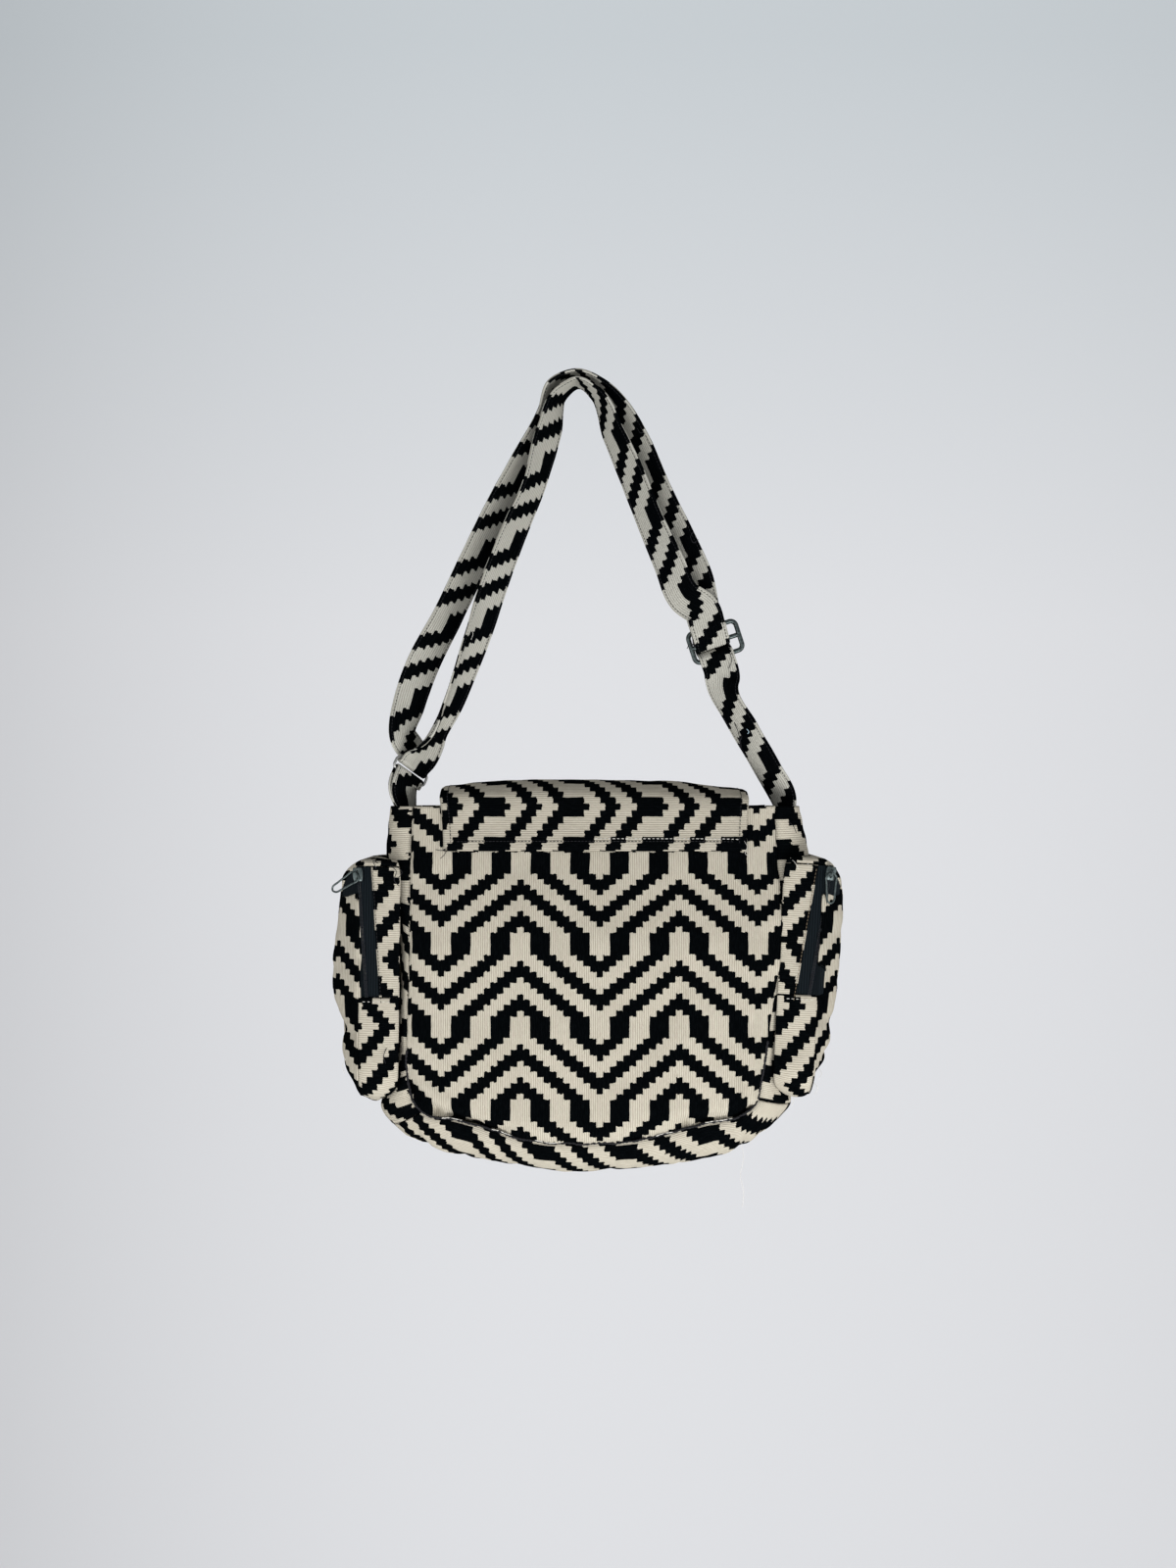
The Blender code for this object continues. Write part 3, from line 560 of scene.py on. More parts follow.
def stitchTree(name, material):
    group = bpy.data.node_groups.new(name, "GeometryNodeTree")
    addInput(group, "Lines", "NodeSocketGeometry")
    names = {}
    for key, value in stitching.items():
        kind = "NodeSocketInt" if key == "seed" else "NodeSocketFloat"
        names[key] = addInput(group, key.capitalize(), kind, value)
    group.interface.new_socket(name="Stitches", in_out="OUTPUT", socket_type="NodeSocketGeometry")
    tree = Tree(group)
    source = tree.add("NodeGroupInput")
    given = {key: source.output(key.capitalize()) for key in names}
    lines = tree.add("GeometryNodeMeshToCurve", None, {"Mesh": source})
    spaced = tree.add("GeometryNodeResampleCurve", {"mode": "LENGTH"},
                      {"Curve": lines, "Length": given["pitch"]})
    bead = tree.add("GeometryNodeMeshUVSphere", None, {"Segments": 6, "Rings": 4, "Radius": 1.0})
    size = tree.add("ShaderNodeCombineXYZ", None,
                    {"X": given["radius"], "Y": given["radius"], "Z": given["length"] * 0.5})
    shaped = tree.add("GeometryNodeTransform", None, {"Geometry": bead, "Scale": size})
    aim = tree.add("FunctionNodeAlignRotationToVector", {"axis": "Z"},
                   {"Vector": tree.add("GeometryNodeInputTangent")})
    wide = tree.add("FunctionNodeRandomValue", {"data_type": "FLOAT"},
                    {2: 1.0 - given["jitter"], 3: 1.0 + given["jitter"], "Seed": given["seed"]}, 1)
    placed = tree.add("GeometryNodeInstanceOnPoints", None,
                      {"Points": spaced, "Instance": shaped, "Rotation": aim, "Scale": wide})
    real = tree.add("GeometryNodeRealizeInstances", None, {"Geometry": placed})
    rounded = tree.add("GeometryNodeSetShadeSmooth", None, {"Geometry": real})
    done = tree.add("GeometryNodeSetMaterial", None, {"Geometry": rounded, "Material": material})
    tree.add("NodeGroupOutput", None, {"Stitches": done})
    return group, names


def stitchRows(name, lines, material, **sizes):
    points, edges = [], []
    for line in lines:
        base = len(points)
        points += [tuple(p) for p in line]
        edges += [(base + i, base + i + 1) for i in range(len(line) - 1)]
    made = newObject(name, newMesh(name, points, edges, []))
    group, names = stitchTree(name + "Tree", material)
    nodes = made.modifiers.new("stitches", "NODES")
    nodes.node_group = group
    for key, identifier in names.items():
        nodes[identifier] = sizes.get(key, stitching[key])
    return bakeModifiers(made)


print("body")
body = {
    # paired points of the panel's seam and the gusset's outermost line, down the left side, along the
    # bottom and up the right side, as (seam x, seam z, gusset x, gusset z) in mm
    "leftSide": [(-131.8, -342, -154, -342), (-133.1, -386, -157.0, -388), (-133, -448, -146, -440),
                 (-134.8, -520, -146.5, -520), (-135.2, -556, -149, -562), (-132, -575, -160.5, -586)],
    "bottom": [(-121, -586.5, -148, -604.5), (-96, -590.5, -121, -619.5), (-69, -597.5, -92, -627.5),
               (-43, -605.5, -60, -633), (0.3, -608.8, 0, -639.5), (48, -606.0, 55, -636),
               (100, -593.5, 115, -627), (131, -587.5, 149, -609.8)],
    "rightSide": [(142.5, -577, 172.5, -585.6), (146.2, -556, 166, -563), (152.5, -510, 165.5, -510),
                  (160, -460, 171, -455), (161.8, -430, 173.5, -425), (159.1, -386, 187.5, -384),
                  (157.2, -342, 181, -342)],
    "rimPoints": 900,
    "rimStray": ((0.0009, 0.011), (0.0007, 0.013)),      # amount and size of bumps, sideways and up
    "mouthZ": -0.342,
    "height": 0.264,
    "centre": (0.013, 0.0045),        # x at the mouth and at the foot
    "halfWidth": (0.151, 0.1455),
    "mouthHalfDepth": 0.030,
    "halfDepth": 0.040,
    "swell": 0.006,
    "depthRamp": 0.45,
    "thickness": 0.0014,
    "column": 0.005205,
    "step": 0.00436,
    "peakPlace": (531.0, 900, -0.042),    # where a peak of the zigzag and one of its rows are seen
    "rowPlace": (600, 946.0, -0.044),
    "rowSink": (0.65, 0.050),         # how far rows sink above that one, and over what height
    "frontShift": 5.0,
    "lowStart": 0.190,
    "lowFade": 0.040,
    "pinch": (0.0030, 0.0105),        # how far the panel draws in beside its seam: sides, bottom
    "pinchReach": (0.0050, 0.0068),
    "pinchPower": 1.3,
}


mouthZ = body["mouthZ"]


def shareDown(z):
    return (mouthZ - z) / body["height"]


def bodyCentre(z):
    return mix(*body["centre"], shareDown(z))


def bodyHalfWidth(z):
    return mix(*body["halfWidth"], shareDown(z))


def cadSeam(side, z):
    return bodyCentre(z) + side * bodyHalfWidth(z)


def lowShare(z):
    return smooth((mouthZ - body["lowStart"] - z) / body["lowFade"])


def halfDepth(x, z):
    down = smooth((mouthZ - z) / (body["height"] * body["depthRamp"]))
    across = (x - bodyCentre(z)) / bodyHalfWidth(z)
    swell = body["swell"] * np.maximum(0.0, 1.0 - across * across)
    return body["mouthHalfDepth"] + (body["halfDepth"] - body["mouthHalfDepth"] + swell) * down


bodyInside = (body["centre"][1], 0.0, mouthZ - body["height"] / 2)
rim = np.array(body["leftSide"] + body["bottom"] + body["rightSide"], float) / 1000.0
# x, 0 and z of the seam, then x and z of the outer line
rimLine = throughPoints(np.insert(rim, 1, 0.0, axis=1), body["rimPoints"])
rimLine[:, 0] += bumps(rimLine[:, :3], body["rimStray"][0], 1.0)
rimLine[:, 2] += bumps(rimLine[:, :3], body["rimStray"][1], 2.0)
rimLast = len(rimLine) - 1
seamLine = rimLine[:, [0, 2]]


def seamPart(a, b, count):
    # The piece of seam between two of the paired points, spaced evenly
    first, last = [int(np.argmin(np.linalg.norm(seamLine - rim[k, :2], axis=1))) for k in (a, b)]
    piece = seamLine[first:last + 1]
    at = lengthAlong(piece)
    return columnsAt(piece, at, np.linspace(0.0, at[-1], count))


def panelFlat(columns, rows):
    # x and z of a grid that fills the outline
    leftEnd = len(body["leftSide"]) - 1
    rightStart = leftEnd + len(body["bottom"]) + 1
    left = seamPart(0, leftEnd, rows)[:, None]
    right = seamPart(rightStart, len(rim) - 1, rows)[::-1][:, None]
    bottom = seamPart(leftEnd, rightStart, columns)[None]
    u = np.linspace(0, 1, columns)[None, :, None]
    v = np.linspace(0, 1, rows)[:, None, None]
    top = mix(seamLine[0], seamLine[-1], u)
    corners = ((1 - u) * (1 - v) * top[:, :1] + u * (1 - v) * top[:, -1:]
               + (1 - u) * v * bottom[:, :1] + u * v * bottom[:, -1:])
    return (1 - v) * top + v * bottom + (1 - u) * left + u * right - corners


panel = {
    "columns": 132,
    "rows": 120,
    # creases on the back: start and end pixel, depth, half width
    "creases": [((418, 1112), (444, 1136), 0.0060, 0.0045), ((444, 1136), (486, 1150), 0.0060, 0.0040),
                ((486, 1150), (530, 1157), 0.0040, 0.0035), ((648, 1160), (700, 1146), 0.0040, 0.0040),
                ((700, 1146), (765, 1139), 0.0050, 0.0045), ((758, 1100), (768, 1139), 0.0030, 0.0035),
                ((440, 1096), (462, 1142), 0.0022, 0.0040), ((760, 1060), (790, 1000), 0.0018, 0.0070),
                ((425, 905), (470, 885), 0.0014, 0.0070), ((470, 1125), (440, 1100), 0.0020, 0.0050),
                ((700, 900), (790, 960), 0.0011, 0.0090), ((640, 1100), (700, 1000), 0.0010, 0.0090)],
    "creaseDepth": -0.042,
    "waves": (0.0013, 0.055),
    "crumple": (0.0006, 0.018),
    "sheltered": (0.030, 0.020),      # no waves above this depth under the mouth, and their fade
}


def seamPinch(points, z):
    distance = pathDistance(points, seamLine[::6])
    low = lowShare(z)
    away = distance / mix(*body["pinchReach"], low)
    return mix(*body["pinch"], low) * np.exp(-away ** body["pinchPower"])


def panelPiece(name, side, node):
    flat = panelFlat(panel["columns"], panel["rows"])
    x, z = flat[..., 0], flat[..., 1]
    depth = halfDepth(x, z) - seamPinch(flat, z)
    solid = together(x, side * body["halfDepth"], z)
    start, fade = panel["sheltered"]
    shelter = smooth((mouthZ - start - z) / fade)
    depth += bumps(solid, panel["waves"], 3.0 + side) * shelter
    depth += bumps(solid, panel["crumple"], 5.0 + side) * shelter
    if side < 0:
        for a, b, deep, wide in panel["creases"]:
            a, b = [atPixel(*pixel, panel["creaseDepth"])[[0, 2]] for pixel in (a, b)]
            depth -= deep * np.exp(-(lineDistance(flat, a, b) / wide) ** 2)
    grid = together(x, side * depth, z)
    peak = atPixel(*body["peakPlace"])[0]
    row = atPixel(*body["rowPlace"])[2]
    shift = 0.0 if side < 0 else body["frontShift"]
    sink = body["rowSink"][0] * smooth((z - row) / body["rowSink"][1])
    weave = together((x - peak) / body["column"] + shift, (row - z) / body["step"] + shift - sink)
    clothGrid(name, grid, weave, panelCloth, bodyInside, body["thickness"], node)


gussets = {
    "fullness": 2.3,
    "roundness": 0.62,
    "tuck": (0.0030, 0.0080),         # how far its edges stay inside the panels: sides, bottom
    "across": 49,
    "waves": (0.0013, 0.026),
    "crumple": (0.0009, 0.010),
    # cross creases on the bottom strip: x, lean, depth, half width, in metres
    "creases": ((-0.128, 0.5, 0.0026, 0.0045), (-0.101, 0.8, 0.0022, 0.0050), (-0.055, 0.7, 0.0014, 0.0070),
                (0.030, -0.6, 0.0018, 0.0080), (0.088, -0.7, 0.0018, 0.0060), (0.136, -0.5, 0.0020, 0.0060),
                (0.151, -0.3, 0.0014, 0.0050)),
    "creaseStart": 0.02,
    "leftTip": 0.031,                 # from the mouth down to where the left strip's zigzag turns
    "rightTip": 0.0025,
    "leftStep": 4.9,
    "rightStep": 7.2,
    "longBar": -0.0923,               # where the middle of a long dark bar meets the bottom strip
    "bottomShift": (1.0, 3.0),
    "joints": (-0.585, -0.575),       # heights of the two joints between the three strips
    "jointGap": 0.001,                # share of the rim by which each strip stops short of a joint
}


def rimAlong(a, b, count):
    # Rows of the rim line between two shares of it, spaced evenly by its outer side
    piece = rimLine[int(a * rimLast):int(b * rimLast) + 1]
    at = lengthAlong(piece[:, 3:5])
    where = np.linspace(0.0, at[-1], count)
    return columnsAt(piece, at, where), where


def gussetPiece(name, first, last, node, count, seed):
    g = gussets
    rows, length = rimAlong(first, last, count)
    across = np.linspace(-1.0, 1.0, g["across"])
    seam, outer = rows[:, [0, 2]], rows[:, 3:5]
    low = lowShare(seam[:, 1])
    reach = halfDepth(seam[:, 0], seam[:, 1]) - mix(*g["tuck"], low) - body["thickness"]
    rise = (1.0 - np.abs(across) ** g["fullness"]) ** g["roundness"]
    flat = seam[:, None] + (outer - seam)[:, None] * rise[None, :, None]
    grid = together(flat[..., 0], reach[:, None] * across[None], flat[..., 1])
    push = unit(outer - seam)
    lift = bumps(grid, g["waves"], 11.0 + seed) * (1 - across ** 4)[None]
    lift = lift + bumps(grid, g["crumple"], 13.0 + seed) * (1 - across ** 4)[None]
    for place, lean, deep, wide in g["creases"]:
        off = (grid[..., 0] - place - lean * (grid[..., 1] + g["creaseStart"])) / wide
        lift = lift - deep * np.exp(-off ** 2) * (1 - across ** 6)[None] * low[:, None]
    grid[..., 0] += push[:, None, 0] * lift
    grid[..., 2] += push[:, None, 1] * lift
    if node == "gusset_bottom":
        # Columns run along the strip, the zigzag across it
        girth = np.linalg.norm(np.diff(grid, axis=1), axis=-1)
        around = np.hstack((np.zeros((len(grid), 1)), np.cumsum(girth, axis=1)))
        weave = together(around / body["column"] + g["bottomShift"][0],
                         (grid[..., 0] - g["longBar"]) / body["step"] + g["bottomShift"][1])
    else:
        onRight = node == "gusset_right"
        tip = length[-1] - g["rightTip"] if onRight else g["leftTip"]
        step = g["rightStep"] if onRight else g["leftStep"]
        weave = together((length[:, None] - tip) / body["column"],
                         (grid[..., 1] + reach[:, None]) / body["step"] + step)
    clothGrid(name, grid, weave, panelCloth, bodyInside, body["thickness"], node)


def shareAt(height, left):
    # Share along the rim at which the seam passes a height, on one side
    middle = len(rimLine) // 2
    half = range(middle) if left else range(rimLast, middle - 1, -1)
    return min(half, key=lambda i: abs(seamLine[i, 1] - height)) / rimLast


panelPiece("backPanel", -1, "back_panel")
panelPiece("frontPanel", 1, "front_panel")
leftJoint, rightJoint = shareAt(gussets["joints"][0], True), shareAt(gussets["joints"][1], False)
apart = gussets["jointGap"]
gussetPiece("gussetLeft", 0.0, leftJoint - apart, "gusset_left", 110, 1.0)
gussetPiece("gussetBottom", leftJoint + apart, rightJoint - apart, "gusset_bottom", 150, 4.0)
gussetPiece("gussetRight", rightJoint + apart, 1.0, "gusset_right", 110, 7.0)

print("flap")
flapSizes = {
    "columns": 120,
    "rows": 150,
    "root": ((452.5, 860, -0.034), (762.0, 860, -0.034)),    # ends of the root and of the top, as seen
    "rootRow": (600, 869.0, -0.034),
    "top": ((451.5, 803, -0.012), (761.0, 803, -0.012)),
    "front": (-0.1115, 0.1375),
    "keys": (4, 8),                   # steps up the back, then over the mouth and down the front
    "sweep": 0.7,                     # share of the way from root to top that the sides lean on the back
    "rise": 0.0215,
    "archPower": 0.85,
    "droop": 0.007,
    "tilt": 0.0015,
    "length": 0.188,
    "halfWidth": 0.125,
    "corner": 0.028,
    "gap": 0.0012,
    "frontGap": 0.0008,
    "thickness": 0.0021,
    "edge": (0.016, 2.2, 0.0009),     # width of the turned edge at the sides and root, and its depth
    "waves": (0.0011, 0.034),
    "crumple": (0.0005, 0.012),
    "shelterRows": 18.0,
    "foldCentre": 0.02,               # depth under the mouth of the line that it folds round
    "insidePlace": (0.01, 0.03),
    "row": 0.00528,
    "step": 0.00418,
    "axisPlace": (600, 823.5, -0.033),
    "originPlace": (521.0, 823, -0.034),
}


def flapPiece():
    s = flapSizes
    rows, columns = s["rows"], s["columns"]
    offset = s["gap"] + s["thickness"]
    backKeys, otherKeys = s["keys"]
    share = np.linspace(-1.0, 1.0, columns)
    rootZ = atPixel(*s["rootRow"])[2]
    root = [atPixel(*place)[0] for place in s["root"]]
    top = [atPixel(*place)[0] for place in s["top"]]
    lines = []
    for a in share:
        t = (a + 1) / 2
        keys = []
        xRoot, xTop, xFront = mix(*root, t), mix(*top, t), mix(*s["front"], t)
        for k in range(backKeys):
            z = mix(rootZ, mouthZ, k / backKeys)
            x = mix(xRoot, xTop, (k / backKeys) ** 1.5 * s["sweep"])
            keys.append((x, -float(halfDepth(x, z)) - offset, z))
        rise = s["rise"] - s["droop"] * abs(a) ** 3 - s["tilt"] * a
        reach = body["mouthHalfDepth"] + offset
        for k in range(otherKeys + 1):
            angle = math.pi * k / otherKeys
            x = mix(xTop, xFront, k / otherKeys) if k > 0 else mix(xRoot, xTop, s["sweep"])
            keys.append((x, -reach * math.cos(angle), mouthZ + rise * math.sin(angle) ** s["archPower"]))
        over = max(0.0, abs(a) * s["halfWidth"] - (s["halfWidth"] - s["corner"]))
        endZ = mouthZ - s["length"] + s["corner"] - math.sqrt(max(0.0, s["corner"] ** 2 - over ** 2))
        for k in range(1, otherKeys + 1):
            z = mix(mouthZ, endZ, k / otherKeys)
            keys.append((xFront, float(halfDepth(xFront, z)) + offset + s["frontGap"], z))
        lines.append(throughPoints(keys, rows))
    grid = np.array(lines).transpose(1, 0, 2)     # rows run from the root over the mouth to the front edge
    # Edges turn down towards what the flap lies on
    edgeWide, footRows, edgeDeep = s["edge"]
    edge = np.minimum(1.0, (1.0 - np.abs(share)) / edgeWide)[None, :]
    foot = np.minimum(1.0, np.arange(rows) / footRows)[:, None]
    lowered = (1 - np.minimum(edge, foot)) ** 2 * edgeDeep
    away = unit(grid - np.array((0.0, 0.0, mouthZ - s["foldCentre"])))
    away[..., 0] = 0.0
    away = unit(away)
    waves = bumps(grid, s["waves"], 21.0) + bumps(grid, s["crumple"], 22.0)
    shelter = smooth(np.arange(rows) / s["shelterRows"])[:, None]
    grid = grid - away * lowered[..., None] + away * (waves * shelter)[..., None]
    step = np.linalg.norm(np.diff(grid, axis=0), axis=-1)
    along = np.vstack((np.zeros((1, columns)), np.cumsum(step, axis=0)))
    axis = rootZ - atPixel(*s["axisPlace"])[2]
    origin = atPixel(*s["originPlace"])[0]
    weave = together((along + axis) / s["row"], (origin - grid[..., 0]) / s["step"])
    inside = (s["insidePlace"][0], 0.0, mouthZ - s["insidePlace"][1])
    made = clothGrid("flapCloth", grid, weave, turnedShadedCloth, inside, s["thickness"], "flap")
    return grid


flapGrid = flapPiece()

print("pockets")
pockets = {
    # dome: how far the face stands out; lean: of the zip; swing: of the pull, in degrees
    # lap: heights, and where the face cloth stops beside the zip, -1 at the coil, 0 at the corner
    # standing: share of the dome at each of "heights"; dents: height, lean, depth
    # weave: face steps, strip columns and steps, boxing columns and steps
    "left": {"side": -1, "drop": 0.1394, "dome": 0.0226, "lean": 0.075, "swing": -61.0,
             "tapeWidth": 0.0104, "zipOut": 0.0020, "rise": 0.0003, "thread": "black",
             "lap": ((0.009, -0.45), (0.022, -0.90), (0.062, -0.90), (0.068, -0.20), (0.0755, 0.32),
                     (0.083, 0.56)),
             "standing": (0.75, 0.75, 0.73, 0.80, 1.0, 1.10, 1.02, 0.82, 0.76),
             "dents": ((-0.045, 0.35, 0.0030), (0.012, -0.25, 0.0018)),
             "weave": (13.1, -2.04, 5.5, 19.64, 4.9)},
    "right": {"side": 1, "drop": 0.1360, "dome": 0.0205, "lean": 0.119, "swing": 8.0,
              "tapeWidth": 0.0106, "zipOut": 0.0055, "rise": -0.0006, "thread": "brown",
              "lap": ((0.009, 0.14), (0.022, -0.60), (0.060, -0.90), (0.068, -0.10), (0.0755, 0.32),
                      (0.083, 0.50)),
              "standing": (0.70, 0.70, 0.72, 0.78, 0.84, 0.92, 1.01, 0.92, 0.82),
              "dents": ((-0.030, -0.30, 0.0022), (-0.066, 0.30, 0.0030), (-0.080, 0.10, 0.0034),
                        (0.035, 0.2, 0.0016)),
              "weave": (13.6, -11.55, 5.5, 10.27, 3.4)},
    "heights": (-0.100, -0.060, -0.042, -0.030, -0.018, 0.0075, 0.034, 0.064, 0.090),
    "halfHeight": 0.0965,
    "halfDepth": 0.0365,
    "boxing": 0.0338,
    "low": 0.030,                     # radius of the lower and of the upper corners
    "top": 0.004,
    "slope": 0.56,
    "footFullness": 1.7,
    "headFullness": 4.4,
    "gap": (0.0072, 0.010, 0.040, 0.0006),   # to the gusset: middle, more at the ends, half width, edges
    "gapEnds": (0.080, 0.020),        # height where that starts, and its fade
    "boxingLow": (0.040, 0.040),
    "boxingSwell": (0.0012, 0.0022),      # everywhere and more in the low part
    "boxingWaves": (0.0008, 0.0020, 0.020),
    "faceGap": 0.0009,
    "faceLift": 0.0006,
    "faceReach": 0.9996,              # how near the rings come to the middle of the face
    "waveFade": 0.12,                 # shares over which waves and dents fade at the face's edge
    "dentFade": 0.25,
    "dentFrom": 0.03,
    "domeEnds": (0.25, 0.35),
    "domeShape": (1.6, 0.86, 1.25),
    "domeFade": (0.02, 0.05),
    "zipBottom": -0.0115,
    "zipTop": 0.0915,
    "zipLine": 0.0330,
    "edgeColumn": -0.6,               # weave column at the edge seen from behind
    "middleHalf": 0.017,              # half width of the part of the face that columns run flat over
    "fallStretch": 1.155,
    "loopEnd": 0.0005,                # how far the loop starts below the zip's foot
    "rowsBeyond": 0.0003,             # how far the face's rows go beyond the zip's two ends
    "tapeSink": 0.0003,               # how far the tapes and the coil lie inside the pocket's side
    "coilSink": 0.0002,
    "coilGap": 0.0022,
    "coilRoom": 0.0013,
    "coilHalf": 0.0007,
    "coil": {"pitch": 0.00105, "length": 0.0010, "radius": 0.00085, "jitter": 0.03},
    "tapeThickness": 0.0007,
    "tapeUnder": 0.0010,              # how far the inner tape goes under the strip
    "tapeReach": (0.62, 0.10, -0.80),     # where the outer one stops: at most, past the lap, at least
    "stripThickness": 0.0018,
    "stripOut": 0.0006,
    "sliderUp": 0.0855,
    "sliderTilt": math.radians(6.0),
    "thickness": 0.0014,
    "faceWaves": (0.0019, 0.030),
    "faceCrumple": (0.0009, 0.013),
    "stripWaves": (0.0007, 0.018),
    "lapWaves": (0.012, 0.006),
    "dentHalf": 0.0065,
}


class Pocket:
    def __init__(self, word):
        self.word = word
        vars(self).update({**pockets, **pockets[word]})
        z = mouthZ - self.drop
        low, self.middle, high = [np.array((cadSeam(self.side, at), 0, at)) for at in (z - 0.1, z, z + 0.1)]
        self.up = unit(high - low)
        self.out = np.array((self.up[2], 0, -self.up[0])) * self.side
        self.inside = self.place(self.boxing * 0.5, 0.0, 0.0)

    def zipAt(self, r):
        return self.zipLine + self.zipOut - self.lean * (self.sliderUp - np.asarray(r, float))

    def place(self, p, q, r):
        # p metres out from the body, q along Y, r up
        p, q, r = np.broadcast_arrays(np.asarray(p, float), np.asarray(q, float), np.asarray(r, float))
        return self.middle + p[..., None] * self.out + q[..., None] * axisY + r[..., None] * self.up

    def base(self, q, r):
        # Where the pocket meets the gusset
        middle, more, half, edge = self.gap
        start, fade = self.gapEnds
        gap = middle + more * smooth((np.abs(r) - start) / fade)
        return gap * np.maximum(0.0, 1.0 - (q / half) ** 2) + edge

    def lapEdge(self, r):
        heights, shares = np.array(self.lap).T
        return np.interp(r, heights, shares)

    def domePoint(self, q, r, share, lift=0.0):
        arrays = [np.asarray(value, float) for value in (q, r, share)]
        q, r, share = np.broadcast_arrays(*arrays)
        shrink = 1.0 - (1.0 - share) * self.halfDepth / self.halfHeight
        standing = np.interp(r * shrink, self.heights, self.standing)
        rise = self.dome * standing * domeRise(share, q, r)
        return self.place(self.boxing + self.faceGap + rise + lift, q * share, r * shrink)

    def zipSidePoint(self, r, t, lift):
        # Runs from beside the coil over the flat of the tape and on up the dome
        d = self.halfDepth
        edge = self.boxing + self.faceGap
        flat = mix(self.zipAt(r) + self.coilRoom, edge, np.clip(t + 1.0, 0.0, 1.0))
        onFlat = self.place(flat, -d - lift, r)
        onDome = self.domePoint(-d - lift * 0.5, r, 1.0 - np.clip(t, 0.0, 1.0), lift * 0.7)
        return np.where((t < 0.0)[..., None], onFlat, onDome)

    def faceWeave(self, points):
        # Columns are counted over the round of the face from its middle, so they keep their width
        local = points - self.middle
        out, up = local @ self.out, local @ self.up
        fall = self.boxing + self.dome - out
        flat = np.minimum(np.abs(points[:, 1]), self.middleHalf)
        over = flat + self.fallStretch * np.maximum(fall, 0.0)
        start = self.middleHalf / body["column"] - self.edgeColumn
        return together((over / body["column"] - start) * np.where(points[:, 1] > 0, -1, 1),
                        self.weave[0] - up / body["step"])


def domeRise(share, q, r):
    # Sloped on the sides by the zip and at the foot, full at the head
    start, fade = pockets["domeEnds"]
    ends = smooth((np.abs(r) / pockets["halfHeight"] - np.abs(q) / pockets["halfDepth"] + start) / fade)
    most, steepness, power = pockets["domeShape"]
    slope = np.clip((1.0 - share) / pockets["slope"], 0.0, most)
    sloped = 1.0 - np.clip(1.0 - slope * steepness, 0.0, 1.0) ** power
    start, fade = pockets["domeFade"]
    fullness = mix(pockets["footFullness"], pockets["headFullness"], smooth((r + start) / fade))
    return mix(sloped, 1.0 - share ** fullness, ends)


def corner(x, z, radius, start, pieces, first=0):
    # A quarter turn about x, z
    turns = [start + math.pi / 2 * i / pieces for i in range(first, pieces + 1)]
    return [(x + radius * math.cos(turn), z + radius * math.sin(turn)) for turn in turns]


def pocketLoop(count):
    # q and r round the pocket, from the zip's foot on round the bottom to the top of the zip
    h, d = pockets["halfHeight"], pockets["halfDepth"]
    low, top = pockets["low"], pockets["top"]
    points = [(-d, pockets["zipBottom"] - pockets["loopEnd"]), (-d, -h + low)]
    points += corner(-d + low, -h + low, low, math.pi, 12, 1)
    points += corner(d - low, -h + low, low, -math.pi / 2, 12)
    points += [(d, h - top)] + corner(d - top, h - top, top, 0.0, 6, 1)
    points += corner(-d + top, h - top, top, math.pi / 2, 6)
    at = lengthAlong(points)
    where = np.linspace(0.0, at[-1], count)
    return columnsAt(np.array(points), at, where), where


def boxingPiece(pocket, seed):
    loop, length = pocketLoop(190)
    q, r = loop[:, :1], loop[:, 1:]
    t = np.linspace(0.0, 1.0, 22)[None]
    p = mix(pocket.base(q, r), pocket.boxing, t)
    # The strip swells between its two seams and folds near the foot
    loopAhead = unit(np.gradient(loop, axis=0))
    normal = together(loopAhead[:, 1], -loopAhead[:, 0])
    normal = normal * np.sign((loop * normal).sum(axis=1))[:, None]
    solid = pocket.place(p, q, r)
    low = smooth((-r - pocket.boxingLow[0]) / pocket.boxingLow[1])
    evenly, more = pocket.boxingSwell
    swell = (evenly + more * low) * (1 - (2 * t - 1) ** 2)
    evenly, more, size = pocket.boxingWaves
    swell = swell + (evenly + more * low) * rumple(solid, size, 31.0 + seed) * (1 - (2 * t - 1) ** 4)
    grid = pocket.place(p, q + normal[:, :1] * swell, r + normal[:, 1:] * swell)
    weave = together(length[:, None] / body["column"] + pocket.weave[3], p / body["step"] + pocket.weave[4])
    clothGrid(pocket.word + "PocketBoxing", grid, weave, panelCloth, pocket.inside, pocket.thickness,
              pocket.word + "_pocket_boxing")


